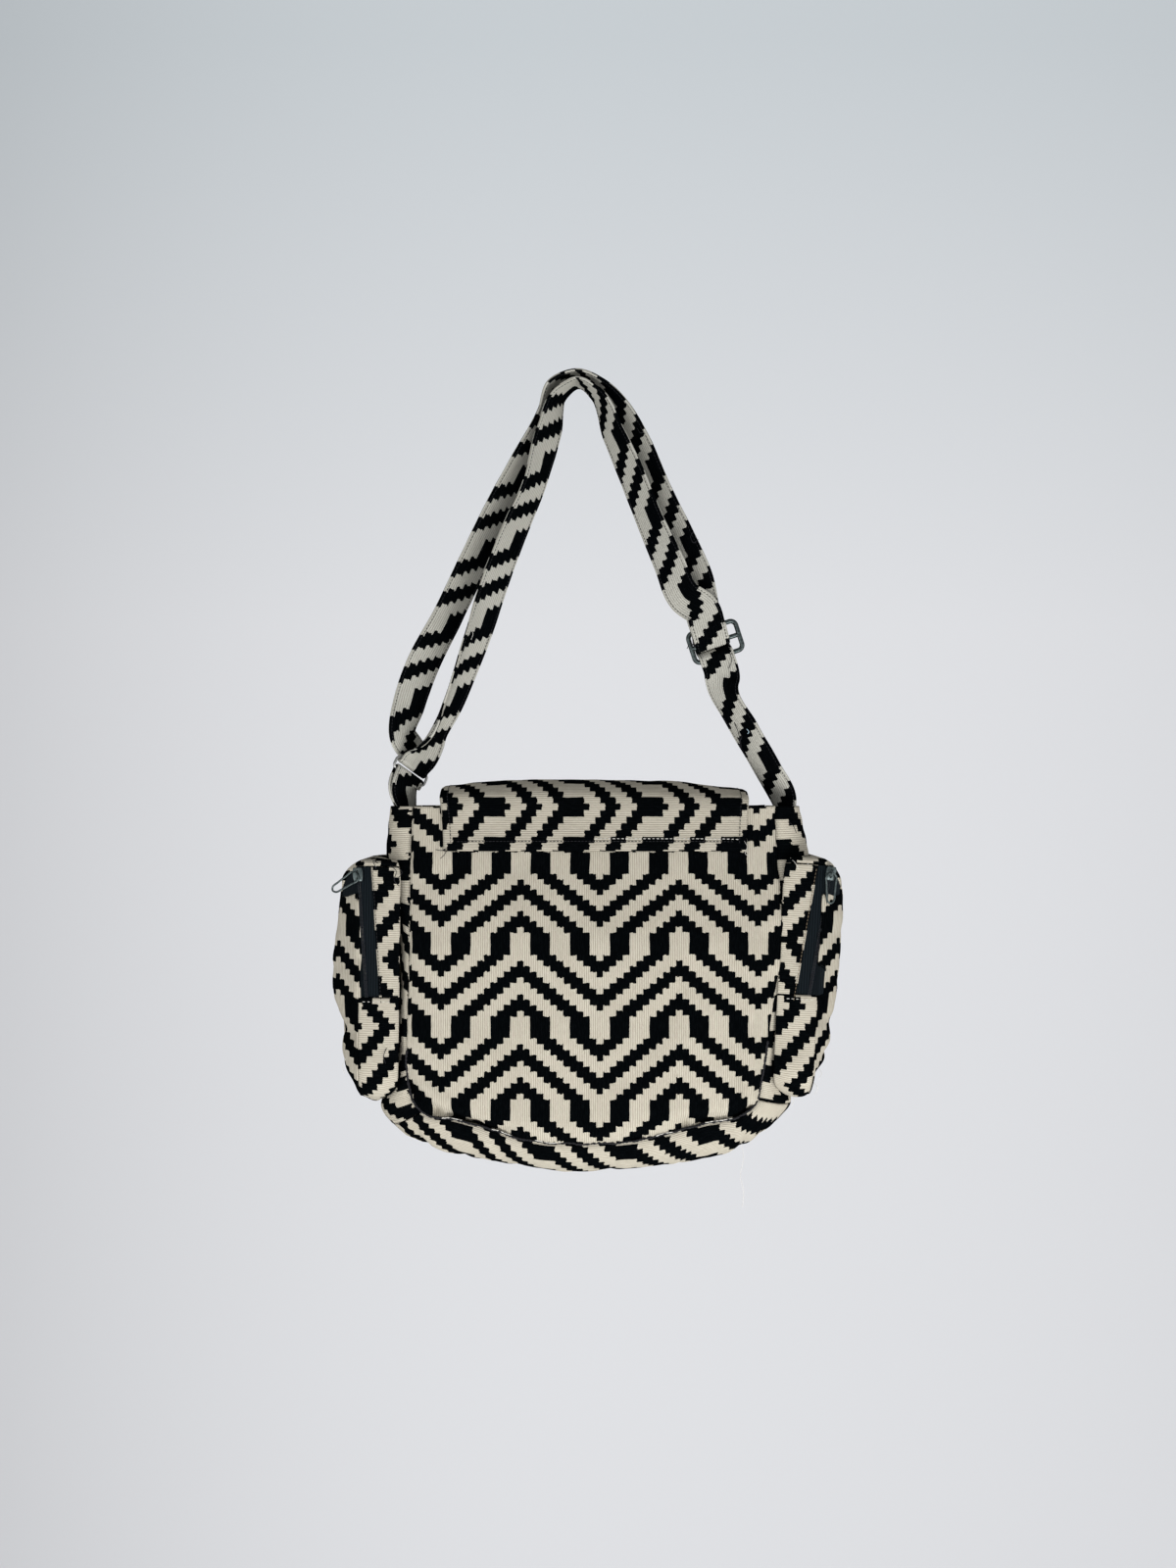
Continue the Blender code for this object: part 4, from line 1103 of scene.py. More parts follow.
def facePiece(pocket, seed):
    loop, length = pocketLoop(240)
    rows = np.linspace(pocket.zipTop + pocket.rowsBeyond, pocket.zipBottom - pocket.rowsBeyond, 60)
    levels = 1.0 - np.linspace(0.0, pocket.faceReach, 52) ** 1.25
    lap = pocket.lapEdge(rows) + bumps(pocket.place(0, 0, rows), pocket.lapWaves, 44.0)
    grid = np.array([np.concatenate((pocket.domePoint(loop[:, 0], loop[:, 1], level),
                                     pocket.zipSidePoint(rows, mix(lap, 1.0, 1.0 - level), pocket.faceLift)))
                     for level in levels])
    level = levels[:, None]
    waves = bumps(grid, pocket.faceWaves, 41.0 + seed) + bumps(grid, pocket.faceCrumple, 43.0 + seed)
    grid = grid + (waves * smooth((1 - level) / pocket.waveFade))[..., None] * pocket.out
    for height, lean, deep in pocket.dents:
        r = (grid - pocket.middle) @ pocket.up
        aside = (grid[..., 1] + pocket.dentFrom) * lean
        dent = deep * np.exp(-((r - height - aside) / pocket.dentHalf) ** 2)
        grid = grid - (dent * smooth((1 - level) / pocket.dentFade))[..., None] * pocket.out
    # The last ring closes on one point in the middle
    points = np.vstack((grid.reshape(-1, 3), grid[-1].mean(axis=0)))
    count = grid.shape[1]
    faces = gridFaces(len(levels), count, closedColumns=True)
    last = (len(levels) - 1) * count
    faces += [(last + j, last + (j + 1) % count, len(points) - 1) for j in range(count)]
    made = meshObject(pocket.word + "PocketFace", points, faces, panelCloth, pocket.faceWeave(points))
    finishCloth(made, pocket.inside, pocket.thickness, pocket.word + "_pocket_face")


def zipPieces(pocket, seed):
    d = pocket.halfDepth
    rows = np.linspace(pocket.zipTop, pocket.zipBottom, 90)
    r = rows[:, None]
    t = np.linspace(0.0, 1.0, 12)[None]
    zipAt = pocket.zipAt(r)
    p = mix(pocket.base(-d, r), zipAt - pocket.tapeWidth, t)
    strip = pocket.place(p, -d - pocket.stripOut, r)
    strip = strip - bumps(strip, pocket.stripWaves, 51.0 + seed)[..., None] * axisY
    weave = together((pocket.zipTop - r) / body["column"] + pocket.weave[1],
                     p / body["step"] + pocket.weave[2])
    clothGrid(pocket.word + "ZipStrip", strip, weave, panelCloth, pocket.inside, pocket.stripThickness,
              pocket.word + "_zip_strip")
    p = mix(zipAt - pocket.tapeWidth - pocket.tapeUnder, zipAt - pocket.coilGap * 0.5, t)
    inner = pocket.place(p, -d + pocket.tapeSink, r)
    innerWeave = together(p, r)
    most, past, least = pocket.tapeReach
    t = np.clip(np.linspace(-1.0, most, 30)[None], None, np.maximum(pocket.lapEdge(r) + past, least))
    outer = pocket.zipSidePoint(np.broadcast_to(r, t.shape), t, -pocket.tapeSink)
    outerWeave = together(0.04 * t, r)
    for end, grid, weave in (("Inner", inner, innerWeave), ("Outer", outer, outerWeave)):
        clothGrid(f"{pocket.word}ZipTape{end}", grid, weave, zipTape, pocket.inside, pocket.tapeThickness,
                  f"{pocket.word}_zip_tape_{end.lower()}", "zip_tape")
    # Interlocked coil between the tapes
    line = pocket.place(pocket.zipAt(rows), -d + pocket.coilSink, rows)
    both = [line + pocket.out * pocket.coilHalf, line - pocket.out * pocket.coilHalf]
    belong(stitchRows(pocket.word + "ZipCoil", both, zipCoil, **pocket.coil), "zip_tape")


bothPockets = [Pocket("left"), Pocket("right")]
for pocket, seed in zip(bothPockets, (2.0, 5.0)):
    boxingPiece(pocket, seed)
    facePiece(pocket, seed)
    zipPieces(pocket, seed)

print("sliders")
sliders = {
    "half": ((0.0031, -0.0055), (0.0038, -0.0030), (0.0041, 0.0010), (0.0039, 0.0038), (0.0031, 0.0055)),
    # plates: from, to, share of the full width
    "plates": ((0.0014, 0.0026, 1.0), (-0.0034, -0.0022, 0.86)),
    "plateEdge": 0.90,
    "neck": ((0, 0.0042, -0.0026), (0, 0.0042, 0.0018)),
    "neckRadius": 0.0008,
    # half of the bow over the pull: along, up
    "bow": ((-0.0030, 0.0022), (-0.0029, 0.0046), (-0.0019, 0.0056), (0.0, 0.0059)),
    "bowRadius": 0.0006,
    "pivot": 0.0037,
    "pullWire": 0.0008,
    # half of the pull's outline: across, along
    "pull": ((0, 0.0003), (0.0020, 0.0), (0.0040, -0.0022), (0.00372, -0.008225), (0.0032, -0.01598),
             (0.00195, -0.0224), (0, -0.0235)),
}


def sliderMatrix(pocket):
    tilt = pocket.sliderTilt
    along = unit(pocket.up + pocket.out * pocket.lean)
    beside = unit(pocket.out - pocket.up * pocket.lean)
    out = beside * math.cos(tilt) + axisY * math.sin(tilt)
    lift = beside * math.sin(tilt) - axisY * math.cos(tilt)
    origin = pocket.place(pocket.zipAt(pocket.sliderUp), -pocket.halfDepth, pocket.sliderUp)
    made = np.eye(4)
    made[:3] = np.column_stack((out * pocket.side, along, lift, origin + lift * pocket.rise))
    return Matrix(made.tolist())


def platePoints(outline, low, high):
    count = len(outline)
    levels = ((low, sliders["plateEdge"]), (mix(low, high, 0.25), 1.0), (mix(low, high, 0.75), 1.0),
              (high, sliders["plateEdge"]))
    rings = [np.column_stack((outline * grow, np.full(count, z))) for z, grow in levels]
    points = np.vstack(rings + [np.array([[0, 0, low], [0, 0, high]])])
    return points, gridFaces(4, count, closedColumns=True) + endFaces(4, count)


def sliderPiece(pocket):
    s = sliders
    half = throughPoints([(*p, 0) for p in s["half"]], 15)[:, :2]
    outline = np.vstack((half, half[::-1] * (-1, 1)))
    parts = []
    for low, high, narrow in s["plates"]:
        points, faces = platePoints(outline * (narrow, 1), low, high)
        parts.append(fixNormals(meshObject("plate", points, faces, gunmetal)))
    parts.append(tubeAlong("neck", s["neck"], s["neckRadius"], gunmetal))
    bow = [(0, y, z) for y, z in s["bow"]] + [(0, -y, z) for y, z in s["bow"][-2::-1]]
    parts.append(tubeAlong("bridge", throughPoints(bow, 26), s["bowRadius"], gunmetal, 10))
    made = joined(pocket.word + "Slider", parts)
    made.data.transform(sliderMatrix(pocket))
    return belong(made, "slider_gunmetal", pocket.word + "_zip_slider", body=pocket.word + "_slider")


def pullPiece(pocket):
    half = sliders["pull"]
    other = [(-x, y) for x, y in half]
    path = [(*place, 0) for place in (other[1], *half, *other[-2:0:-1])]
    line = throughPoints(path, 64)[:-1]
    made = tubeAlong(pocket.word + "Pull", line, sliders["pullWire"], gunmetal, 10, closed=True, normal=axisZ)
    place = sliderMatrix(pocket) @ Matrix.Translation((0, 0, sliders["pivot"]))
    made.data.transform(place @ Matrix.Rotation(math.radians(pocket.swing), 4, "Z"))
    return belong(made, "slider_gunmetal", pocket.word + "_zip_pull", body=pocket.word + "_pull")


for pocket in bothPockets:
    sliderPiece(pocket)
    pullPiece(pocket)

print("strap")
strap = {
    "width": 0.029,
    "thickness": 0.0026,
    "layerGap": 0.0035,
    "endDepth": 0.020,
    "anchorIn": 0.004,                # the right end's place beside the gusset, and the tab's
    "anchorUp": 0.010,
    "anchorTurn": (0.25, -0.97, 0),
    "tabIn": 0.0036,
    "ringAlong": (0.62, 0.60, -0.50),
    "ringNormal": (0.60, -0.62, 0.0),
    "tabFlat": (-0.32, -0.95, 0.0),
    "tabTurn": 0.80,
    # where the strip comes to the ring and leaves it: along the ring's up and its normal
    "ringIn": (0.0100, -0.0052),
    "ringOff": (0.0095, 0.0048),
    "offCurl": 1.5,
    "tabRun": (-0.0075, 0.0026),
    "ringUp": 0.0285,
    "ringOut": 0.0003,
    "ringWire": 0.0011,
    "ringHalfHeight": 0.0048,
    "ringRoom": 0.0015,
    "ringCorner": 0.0030,
    "adjusterUp": 0.1343,
    "adjusterIn": 0.0579,
    "adjusterLean": math.radians(18.0),
    "adjusterBack": 0.004,
    "adjusterWire": 0.0020,
    "adjusterHalfLength": 0.0205,
    "adjusterShift": 0.0030,
    "adjusterCorner": 0.0045,
    "barPitch": 0.0125,
    "beyondBar": 0.013,
    "tail": 0.024,
    "fit": 0.0003,
    "pad": 0.0002,
    "ease": 0.0004,                   # how far the strip moves off as it leaves the adjuster
    "easeBelow": 0.0006,
    "endShift": (0.001, 0.0005),
    "column": 0.00545,
    "step": 0.00456,
    "stepsInRepeat": 15.0,
    "stitchIn": 0.0022,
    "stitchHalf": 0.0011,
    "stitchDent": 0.32,
    "stitchLift": 0.00012,
    "edgeRound": 0.0012,
    "wave": (0.00035, 0.016),
    "spacing": 0.0035,
    "tabSpacing": 0.0030,
    "fine": 0.0004,
    "turnRows": 5.0,                  # how much closer the rows stand where the strip turns
    "edgePoints": (5, 0.09),          # points round each edge, and their share of half the width
    "flatPoints": (21, 0.86),
    # Edges of the runs in the picture, from the top: outer x, y, inner x, y, depth in mm, curl
    "leftFront": ((548, 436, 572, 445, -3, 0.0), (531, 498, 553, 504, -4, 0.2), (515, 531, 539, 540, -5, 0.2),
                  (489, 595, 516, 602, -6, 0.3), (474, 640, 500, 646, -6, 0.9), (461, 678, 482, 687, -5, 1.5),
                  (448, 716, 465, 723, -4, 1.8), (436, 744, 448, 749, -3, 2.3)),
    "leftRear": ((549, 418, 568, 428, 4, 0.0), (523, 465, 545, 478, 5, 0.1), (500, 506, 524, 520, 6, 0.1),
                 (471, 565, 498, 578, 7, 0.2), (442, 625, 470, 638, 6, 0.2), (414, 677, 446, 688, 4, 0.3),
                 (402, 715, 434, 722, 3, 0.4), (399, 748, 425, 752, 2, 0.5)),
    "rightFront": ((636, 438, 616, 447, -3, 0.0), (657, 480, 633, 490, -3, 0.1),
                   (676, 525, 651, 536, -4, 0.2), (698, 569, 669, 582, -5, 0.2),
                   (715, 602, 683, 617, -5, 0.2)),
    "rightRear": ((642, 412, 622, 424, 4, 0.0), (659, 440, 636, 453, 5, 0.1), (686, 500, 660, 513, 6, 0.1),
                  (710, 548, 681, 562, 6, 0.2), (726, 583, 695, 598, 5, 0.2)),
    "archFront": ((569, 396, 580, 404, -1, 0.0), (590, 385, 591, 396, 0, 0.0), (611, 397, 602, 405, -1, 0.0)),
    "archRear": ((560, 389, 568, 397, 1, 0.0), (588, 377, 589, 387, 1, 0.0), (618, 389, 608, 398, 1, 0.0)),
    "single": ((740, 658, 707, 668, 0, 0.2), (753, 700, 722, 705, 0, 0.3), (772, 740, 745, 747, 0, 0.4),
               (795, 782, 770, 792, 0, 0.8), (809, 812, 786, 822, 0, 0.9)),
    # where the middle of a long light bar lies: picture x, y
    "frontBar": (624.5, 453),
    "rearBar": (481, 556),
    "singleBar": (731.5, 705),
    "barStep": 3.0,
    "adjusterPixel": (735, 640),
    "topPixel": (590, 385),
    "acrossShift": (-7.3, -4.5),      # columns on the two faces' far sides, before and after the top
    "tabShift": (2.0, 2.0, -7.4, -7.4),
    "topBlend": 8.0,                  # rows over which the shifts change at the top and at the adjuster
    "adjusterBlend": 30.0,
}


def tracedStations(name):
    # Each pair of edges gives the middle, the width direction and the turn: the outer edge is nearer
    stations = []
    for ox, oy, ix, iy, depth, curl in strap[name]:
        middle = depth / 1000.0
        half = 0.0
        for _ in range(8):
            outer, inner = atPixel(ox, oy, middle - half), atPixel(ix, iy, middle + half)
            seen = (outer - inner)[[0, 2]]
            chord = strap["width"] * (1.0 - curl * curl / 24.0)
            half = 0.5 * math.sqrt(max(0.0, chord ** 2 - seen @ seen))
        stations.append(((outer + inner) / 2, unit(outer - inner), curl))
    return stations


class RingFrame:
    def __init__(self):
        self.along = unit(strap["ringAlong"])
        self.normal = unit(strap["ringNormal"])
        self.up = unit(np.cross(self.normal, self.along))
        self.up = self.up * np.sign(self.up[2])
        x = cadSeam(-1, mouthZ) + strap["ringOut"]
        self.middle = np.array((x, 0, mouthZ + strap["ringUp"]))
        self.upper = self.middle + self.up * strap["ringHalfHeight"]
        self.lower = self.middle - self.up * strap["ringHalfHeight"]

    def beside(self, place, up, out):
        return place + self.up * up + self.normal * out


class AdjusterFrame:
    def __init__(self):
        lean = strap["adjusterLean"]
        self.up = np.array((-math.sin(lean), 0, math.cos(lean)))
        self.along = np.array((math.cos(lean), 0, math.sin(lean)))
        x = cadSeam(1, mouthZ) + strap["anchorIn"] - strap["adjusterIn"]
        self.middle = np.array((x, strap["adjusterBack"], mouthZ + strap["adjusterUp"]))

    def place(self, up, back):
        return self.middle + self.up * up + axisY * back


def arcStations(centre, a, b, radius, across, degrees):
    turns = [math.radians(degree) for degree in degrees]
    return [(centre + a * radius * math.cos(t) + b * radius * math.sin(t), across, 0.0) for t in turns]


ring = RingFrame()
adjuster = AdjusterFrame()


def strapStations():
    # From the right gusset through the adjuster, over the top, round the ring and back to the middle bar
    s = strap
    anchor = np.array((cadSeam(1, mouthZ) + s["anchorIn"], 0, mouthZ))
    wide = adjuster.along
    half, pitch, beyond = s["thickness"] * 0.5, s["barPitch"], s["barPitch"] + s["beyondBar"]
    wire, fit = s["adjusterWire"], s["fit"]
    passing = wire + fit + half + s["pad"] / 2
    behind = wire + fit + s["thickness"] + fit + half + s["pad"] * 2
    stations = [(anchor - axisZ * s["endDepth"] + axisX * s["endShift"][0], -axisY, 0.0),
                (anchor - axisZ * s["anchorUp"] + axisX * s["endShift"][1], unit(s["anchorTurn"]), 0.3)]
    stations += tracedStations("single")[:0:-1]
    topBar, lowBar = adjuster.place(pitch, 0), adjuster.place(-pitch, 0)
    near, up = -axisY, adjuster.up
    stations.append((adjuster.place(-beyond, s["easeBelow"] - passing), wide, 0.2))
    stations += arcStations(lowBar, near, up, passing, wide, (-10, 15, 40))
    stations += arcStations(adjuster.middle, -near, up, behind, wide, (-30, 0, 30))
    stations += arcStations(topBar, near, up, passing, wide, (-40, -15, 10))
    stations.append((adjuster.place(beyond, -passing - s["ease"]), wide, 0.0))
    stations += tracedStations("rightRear")[::-1] + tracedStations("archRear")[::-1]
    stations += tracedStations("leftRear")
    across = -ring.along
    radius = s["ringWire"] + fit + half
    stations.append((ring.beside(ring.upper, *s["ringIn"]), across, 0.0))
    stations += arcStations(ring.upper, -ring.normal, -ring.up, radius, across,
                            (-15, 25, 58, 90, 122, 155, 195))
    stations.append((ring.beside(ring.upper, *s["ringOff"]), across, s["offCurl"]))
    stations += tracedStations("leftFront")[::-1] + tracedStations("archFront")
    stations += tracedStations("rightFront")
    tail = passing + s["thickness"] + fit + s["pad"]
    front = tail + s["thickness"] + fit + s["pad"]
    stations.append((adjuster.place(beyond, -front - s["ease"]), wide, 0.0))
    stations += arcStations(topBar, near, up, front, wide, (10, -15, -38))
    stations += arcStations(adjuster.middle, near, -up, wire + fit + half, wide,
                            (30, 60, 90, 120, 150, 180, 215))
    stations += arcStations(topBar, near, up, tail, wide, (-40, -15, 10))
    stations.append((adjuster.place(s["tail"], -tail - s["ease"]), wide, 0.0))
    return stations


def tabStations():
    # Both ends inside the gusset, the middle round the ring's lower side
    s = strap
    atMouth = np.array((cadSeam(-1, mouthZ) - s["tabIn"], 0, mouthZ))
    across = -ring.along
    flat = unit(s["tabFlat"])
    between = unit(mix(flat, across, s["tabTurn"]))
    up, out = s["tabRun"]
    apart = np.cross(axisZ, flat) * s["layerGap"] * 0.5
    radius = s["ringWire"] + s["fit"] + s["thickness"] * 0.5 + s["pad"]
    arc = arcStations(ring.lower, -ring.normal, ring.up, radius, across, (-22, 15, 50, 90, 130, 165, 202))
    start = [(atMouth - axisZ * s["endDepth"] - apart, flat, 0.0), (atMouth - apart, flat, 0.0),
             (ring.beside(ring.lower, up, -out), between, 0.0)]
    end = [(ring.beside(ring.lower, up, out), between, 0.0),
           (atMouth + apart, flat, 0.0), (atMouth - axisZ * s["endDepth"] + apart, flat, 0.0)]
    return start + arc + end


class Belt:
    # A flat doubled strip swept through stations of (point, width direction, curl)
    def __init__(self, stations, spacing):
        keys = np.array([np.concatenate((p, a, [c])) for p, a, c in stations])
        rough = lengthAlong(keys[:, :3])[-1]
        fine = throughPoints(keys, int(rough / strap["fine"]))
        at = lengthAlong(fine[:, :3])
        heading = unit(np.gradient(fine[:, :3], axis=0))
        turnRate = np.linalg.norm(np.gradient(heading, axis=0), axis=1) / strap["fine"]
        # Rows stand closer where the strip turns
        rowRate = 1.0 / spacing + turnRate[1:] * strap["turnRows"]
        effort = np.concatenate(([0.0], np.cumsum(np.diff(at) * rowRate)))
        self.at = np.interp(np.linspace(0, effort[-1], int(effort[-1])), effort, at)
        rows = columnsAt(fine, at, self.at)
        self.points = rows[:, :3]
        self.ahead = unit(np.gradient(self.points, self.at, axis=0))
        across = rows[:, 3:6]
        self.across = unit(across - self.ahead * (across * self.ahead).sum(axis=1, keepdims=True))
        self.normal = np.cross(self.ahead, self.across)
        self.curl = rows[:, 6]

    def surface(self, a, lift):
        # a: metres across from the middle; lift: metres out of the strip's middle plane
        curl = np.where(np.abs(self.curl) < 1e-3, 1e-3, self.curl)
        radius = (strap["width"] / curl)[:, None]
        side = (radius - lift) * np.sin(a / radius)
        out = radius - (radius - lift) * np.cos(a / radius)
        aside = self.across[:, None] * side[..., None]
        return self.points[:, None] + aside + self.normal[:, None] * out[..., None]


def halfThickness(a):
    # Puffed between the two rows of stitches, round at the folded edges
    fromEdge = strap["width"] * 0.5 - np.abs(a)
    stitch = np.exp(-((fromEdge - strap["stitchIn"]) / strap["stitchHalf"]) ** 2)
    rounded = np.sqrt(np.clip(1 - (1 - np.clip(fromEdge / strap["edgeRound"], 0, 1)) ** 2, 0, 1))
    return strap["thickness"] * 0.5 * rounded * (1.0 - strap["stitchDent"] * stitch)


def beltPiece(name, belt, phases, seed):
    # phases: shifts of steps on the two faces, then of columns on them, for each row
    count, share = strap["edgePoints"]
    edge = -1 + (1 - np.cos(np.linspace(0, math.pi / 2, count))) * share
    count, share = strap["flatPoints"]
    a = np.concatenate((edge, np.linspace(-share, share, count), -edge[::-1])) * strap["width"] * 0.5
    top = halfThickness(a)
    upperCount = len(a)
    loop = np.concatenate((a, a[::-1][1:-1]))
    lift = np.concatenate((top, -top[::-1][1:-1]))
    n, rows = len(loop), len(belt.points)
    flat = belt.points[:, None] + belt.across[:, None] * loop[None, :, None]
    grid = belt.surface(np.broadcast_to(loop, (rows, n)), lift[None] + bumps(flat, strap["wave"], seed))
    faces = gridFaces(rows, n, closedColumns=True)
    faces.append(tuple(range(n))[::-1])
    faces.append(tuple((rows - 1) * n + j for j in range(n)))
    made = meshObject(name, grid, faces, strapCloth)
    layer = made.data.uv_layers.new(name="weave")
    down = belt.at / strap["step"]
    for p in made.data.polygons:
        sideways = np.array([v % n for v in p.vertices])
        wraps = 0 in sideways and n - 1 in sideways
        upper = len(p.vertices) > 4 or sideways.max() < upperCount and not wraps
        side, shift, drift = (1, phases[0], phases[2]) if upper else (-1, phases[1], phases[3])
        for k, v in zip(p.loop_indices, p.vertices):
            row = v // n
            layer.data[k].uv = (side * loop[v % n] / strap["column"] + drift[row], down[row] + shift[row])
    return fixNormals(made)


def nearestRow(belt, pixel, first, last):
    offset = belt.points - np.array(view["place"])
    px = view["middle"][0] + offset[:, 0] / offset[:, 1] / view["pixel"]
    py = view["middle"][1] - offset[:, 2] / offset[:, 1] / view["pixel"]
    away = np.hypot(px - pixel[0], py - pixel[1])
    return first + int(np.argmin(away[first:last]))


def barPhase(belt, word, first, last):
    row = nearestRow(belt, strap[word], first, last)
    return (strap["barStep"] - belt.at[row] / strap["step"]) % strap["stepsInRepeat"]


def strapPhases(belt):
    # One shift for the near face, two for the far face joined inside the adjuster
    count = len(belt.at)
    turn = int(np.argmin(np.linalg.norm(belt.points - ring.upper, axis=1)))
    first = nearestRow(belt, strap["adjusterPixel"], 0, turn // 2)
    front = np.full(count, barPhase(belt, "frontBar", turn, count))
    single = barPhase(belt, "singleBar", 0, first)
    rear = barPhase(belt, "rearBar", turn // 2, turn)
    rows = np.arange(count)
    tops = [nearestRow(belt, strap["topPixel"], a, b) for a, b in ((turn, count), (0, turn))]
    across = [mix(*strap["acrossShift"], smooth((rows - top) / strap["topBlend"] + 0.5)) for top in tops]
    return front, mix(single, rear, smooth((rows - first) / strap["adjusterBlend"])), *across


def beltStitches(name, belt):
    edge = strap["width"] * 0.5 - strap["stitchIn"]
    lift = halfThickness(edge) + strap["stitchLift"]
    column = np.ones((len(belt.points), 1))
    lines = [belt.surface(column * a, column * side * lift)[:, 0] for a in (-edge, edge) for side in (-1, 1)]
    return stitchRows(name, lines, thread["black"])


shoulder = Belt(strapStations(), strap["spacing"])
belong(beltPiece("shoulderStrap", shoulder, strapPhases(shoulder), 61.0), "strap_cotton", "shoulder_strap")
belong(beltStitches("strapStitches", shoulder), "strap_cotton")
tab = Belt(tabStations(), strap["tabSpacing"])
tabPhases = [np.full(len(tab.at), shift) for shift in strap["tabShift"]]
belong(beltPiece("ringTab", tab, tabPhases, 63.0), "strap_cotton", "ring_tab")
belong(beltStitches("tabStitches", tab), "strap_cotton")


def roundedPath(middle, along, up, halfLong, halfHigh, radius):
    flat = []
    for sx, sy, start in ((1, 1, 0), (-1, 1, 90), (-1, -1, 180), (1, -1, 270)):
        flat += corner(sx * (halfLong - radius), sy * (halfHigh - radius), radius, math.radians(start), 8)
    return [middle + along * x + up * y for x, y in flat]


ringHalf = strap["width"] * 0.5 + strap["ringRoom"] + strap["ringWire"]
ringPath = roundedPath(ring.middle, ring.along, ring.up, ringHalf, strap["ringHalfHeight"],
                       strap["ringCorner"])
belong(tubeAlong("strapRing", ringPath, strap["ringWire"], wireSteel, 12, closed=True, normal=ring.normal),
       "wire_steel", "strap_ring")
adjusterMiddle = adjuster.middle + adjuster.along * strap["adjusterShift"]
adjusterPath = roundedPath(adjusterMiddle, adjuster.along, adjuster.up, strap["adjusterHalfLength"],
                           strap["barPitch"], strap["adjusterCorner"])
bar = adjusterMiddle + adjuster.along * np.linspace(-1, 1, 12)[:, None] * strap["adjusterHalfLength"]
belong(joined("strapAdjuster", [
    tubeAlong("wire", adjusterPath, strap["adjusterWire"], gunmetal, 12, closed=True, normal=axisY),
    tubeAlong("bar", bar, strap["adjusterWire"] * 0.98, gunmetal, 12)]), "wire_steel", "strap_adjuster")

print("stitches and loose ends")
sewing = {
    "flapRow": (600, 859.0, -0.036),
    # parts of the flap's grid that are sewn: rows and columns of the side rows, columns of the root's row
    "sideRows": (4, 60),
    "sideColumns": (3, -4),
    "rootColumns": (6, -6),
    "whiteColumns": (60, -4),
    "seamSpan": (230, 680, 3),        # points of the seam's line: first, last, step
    "seamSink": 0.0002,
    "frayOut": (0.0, -0.0007, 0.0007),
    "lift": 0.0006,
    "flapRadius": 0.00034,
    "endRadius": {"black": 0.00030, "white": 0.00016, "paleBlue": 0.00030},
    "whiteStitch": {"radius": 0.00030, "length": 0.0024, "pitch": 0.0034},
    # the dark line in the bottom seam, a thick black thread that is partly the seam's edge and partly painted
    # shade of its crease: wander, its stitches, and where light threads stand out of it
    "seamWander": (0.0011, 0.012),
    "seamShadeStitch": {"radius": 0.0011, "length": 0.0042, "pitch": 0.0030},
    "fraySpans": ((28, 34), (44, 50), (58, 66), (96, 101), (112, 120)),
    "frayStitch": {"radius": 0.00042, "length": 0.0044, "pitch": 0.0034},
    "footDrop": 0.0035,               # of the white row under each zip
    "footLift": 0.0018,
    "besideTape": 0.0012,             # rows beside the zips
    "besideLift": 0.0016,
    # pieces that the loose ends hang from
    "cloth": ("backPanel", "frontPanel", "gussetLeft", "gussetBottom", "gussetRight", "flapCloth",
              "leftPocketFace", "rightPocketFace", "leftPocketBoxing", "rightPocketBoxing", "shoulderStrap",
              "ringTab"),
    # loose ends of thread: picture points and depth of each in mm
    "black": (((712, 540, -6), (709, 545, -8), (712, 551, -9), (717, 548, -7)),
              ((646, 438, -6), (650, 443, -9), (655, 441, -7)),
              ((742, 742, -4), (746, 752, -7), (748, 760, -6), (749, 767, -5)),
              ((747, 752, -4), (749, 757, -6), (746, 763, -6)),
              ((455, 866, -38), (450, 868, -41), (444, 867, -42)),
              ((455, 869, -38), (453, 873, -42), (449, 877, -43)),
              ((398, 884, -40), (404, 890, -43), (402, 899, -44), (407, 905, -42)),
              ((385, 880, -40), (380, 877, -43), (383, 886, -44)),
              ((404, 886, -40), (410, 893, -43), (406, 899, -43)),
              ((706, 664, -8), (700, 662, -9), (697, 667, -9)),
              ((394, 1070, -41), (391, 1078, -43), (393, 1086, -42)),
              ((747, 663, -9), (749, 672, -11), (746, 680, -9)),
              ((810, 838, -30), (815, 842, -33), (818, 849, -32))),
    "white": (((760, 858, -38), (763, 864, -42), (761, 871, -42), (764, 873, -40)),
              ((757, 1166, -20), (759, 1182, -20), (756, 1200, -20), (759, 1216, -20), (758, 1232, -20)),
              ((806, 868, -40), (811, 873, -43), (815, 880, -42)),
              ((830, 1104, -24), (835, 1110, -26), (832, 1117, -26)),
              ((806, 1118, -26), (810, 1124, -28), (808, 1130, -28)),
              ((352, 1080, -24), (348, 1088, -25), (350, 1096, -25)),
              ((476, 640, -12), (480, 646, -14), (478, 652, -13)),
              ((838, 1090, -24), (842, 1097, -26), (839, 1103, -26))),
    "paleBlue": (((760, 745, -6), (762, 748, -7), (761, 750, -6)),
                 ((402, 794, -4), (399, 799, -6), (402, 804, -5))),
}


def raised(points, amount):
    # A line moved towards the camera
    return [np.array(p) - axisY * amount for p in points]


def clothTree():
    # One search tree of all the cloth that loose ends hang from
    points, faces = [], []
    for name in sewing["cloth"]:
        mesh = bpy.data.objects[name].data
        base = len(points)
        points += [v.co[:] for v in mesh.vertices]
        faces += [[base + i for i in p.vertices] for p in mesh.polygons]
    return BVHTree.FromPolygons(points, faces)


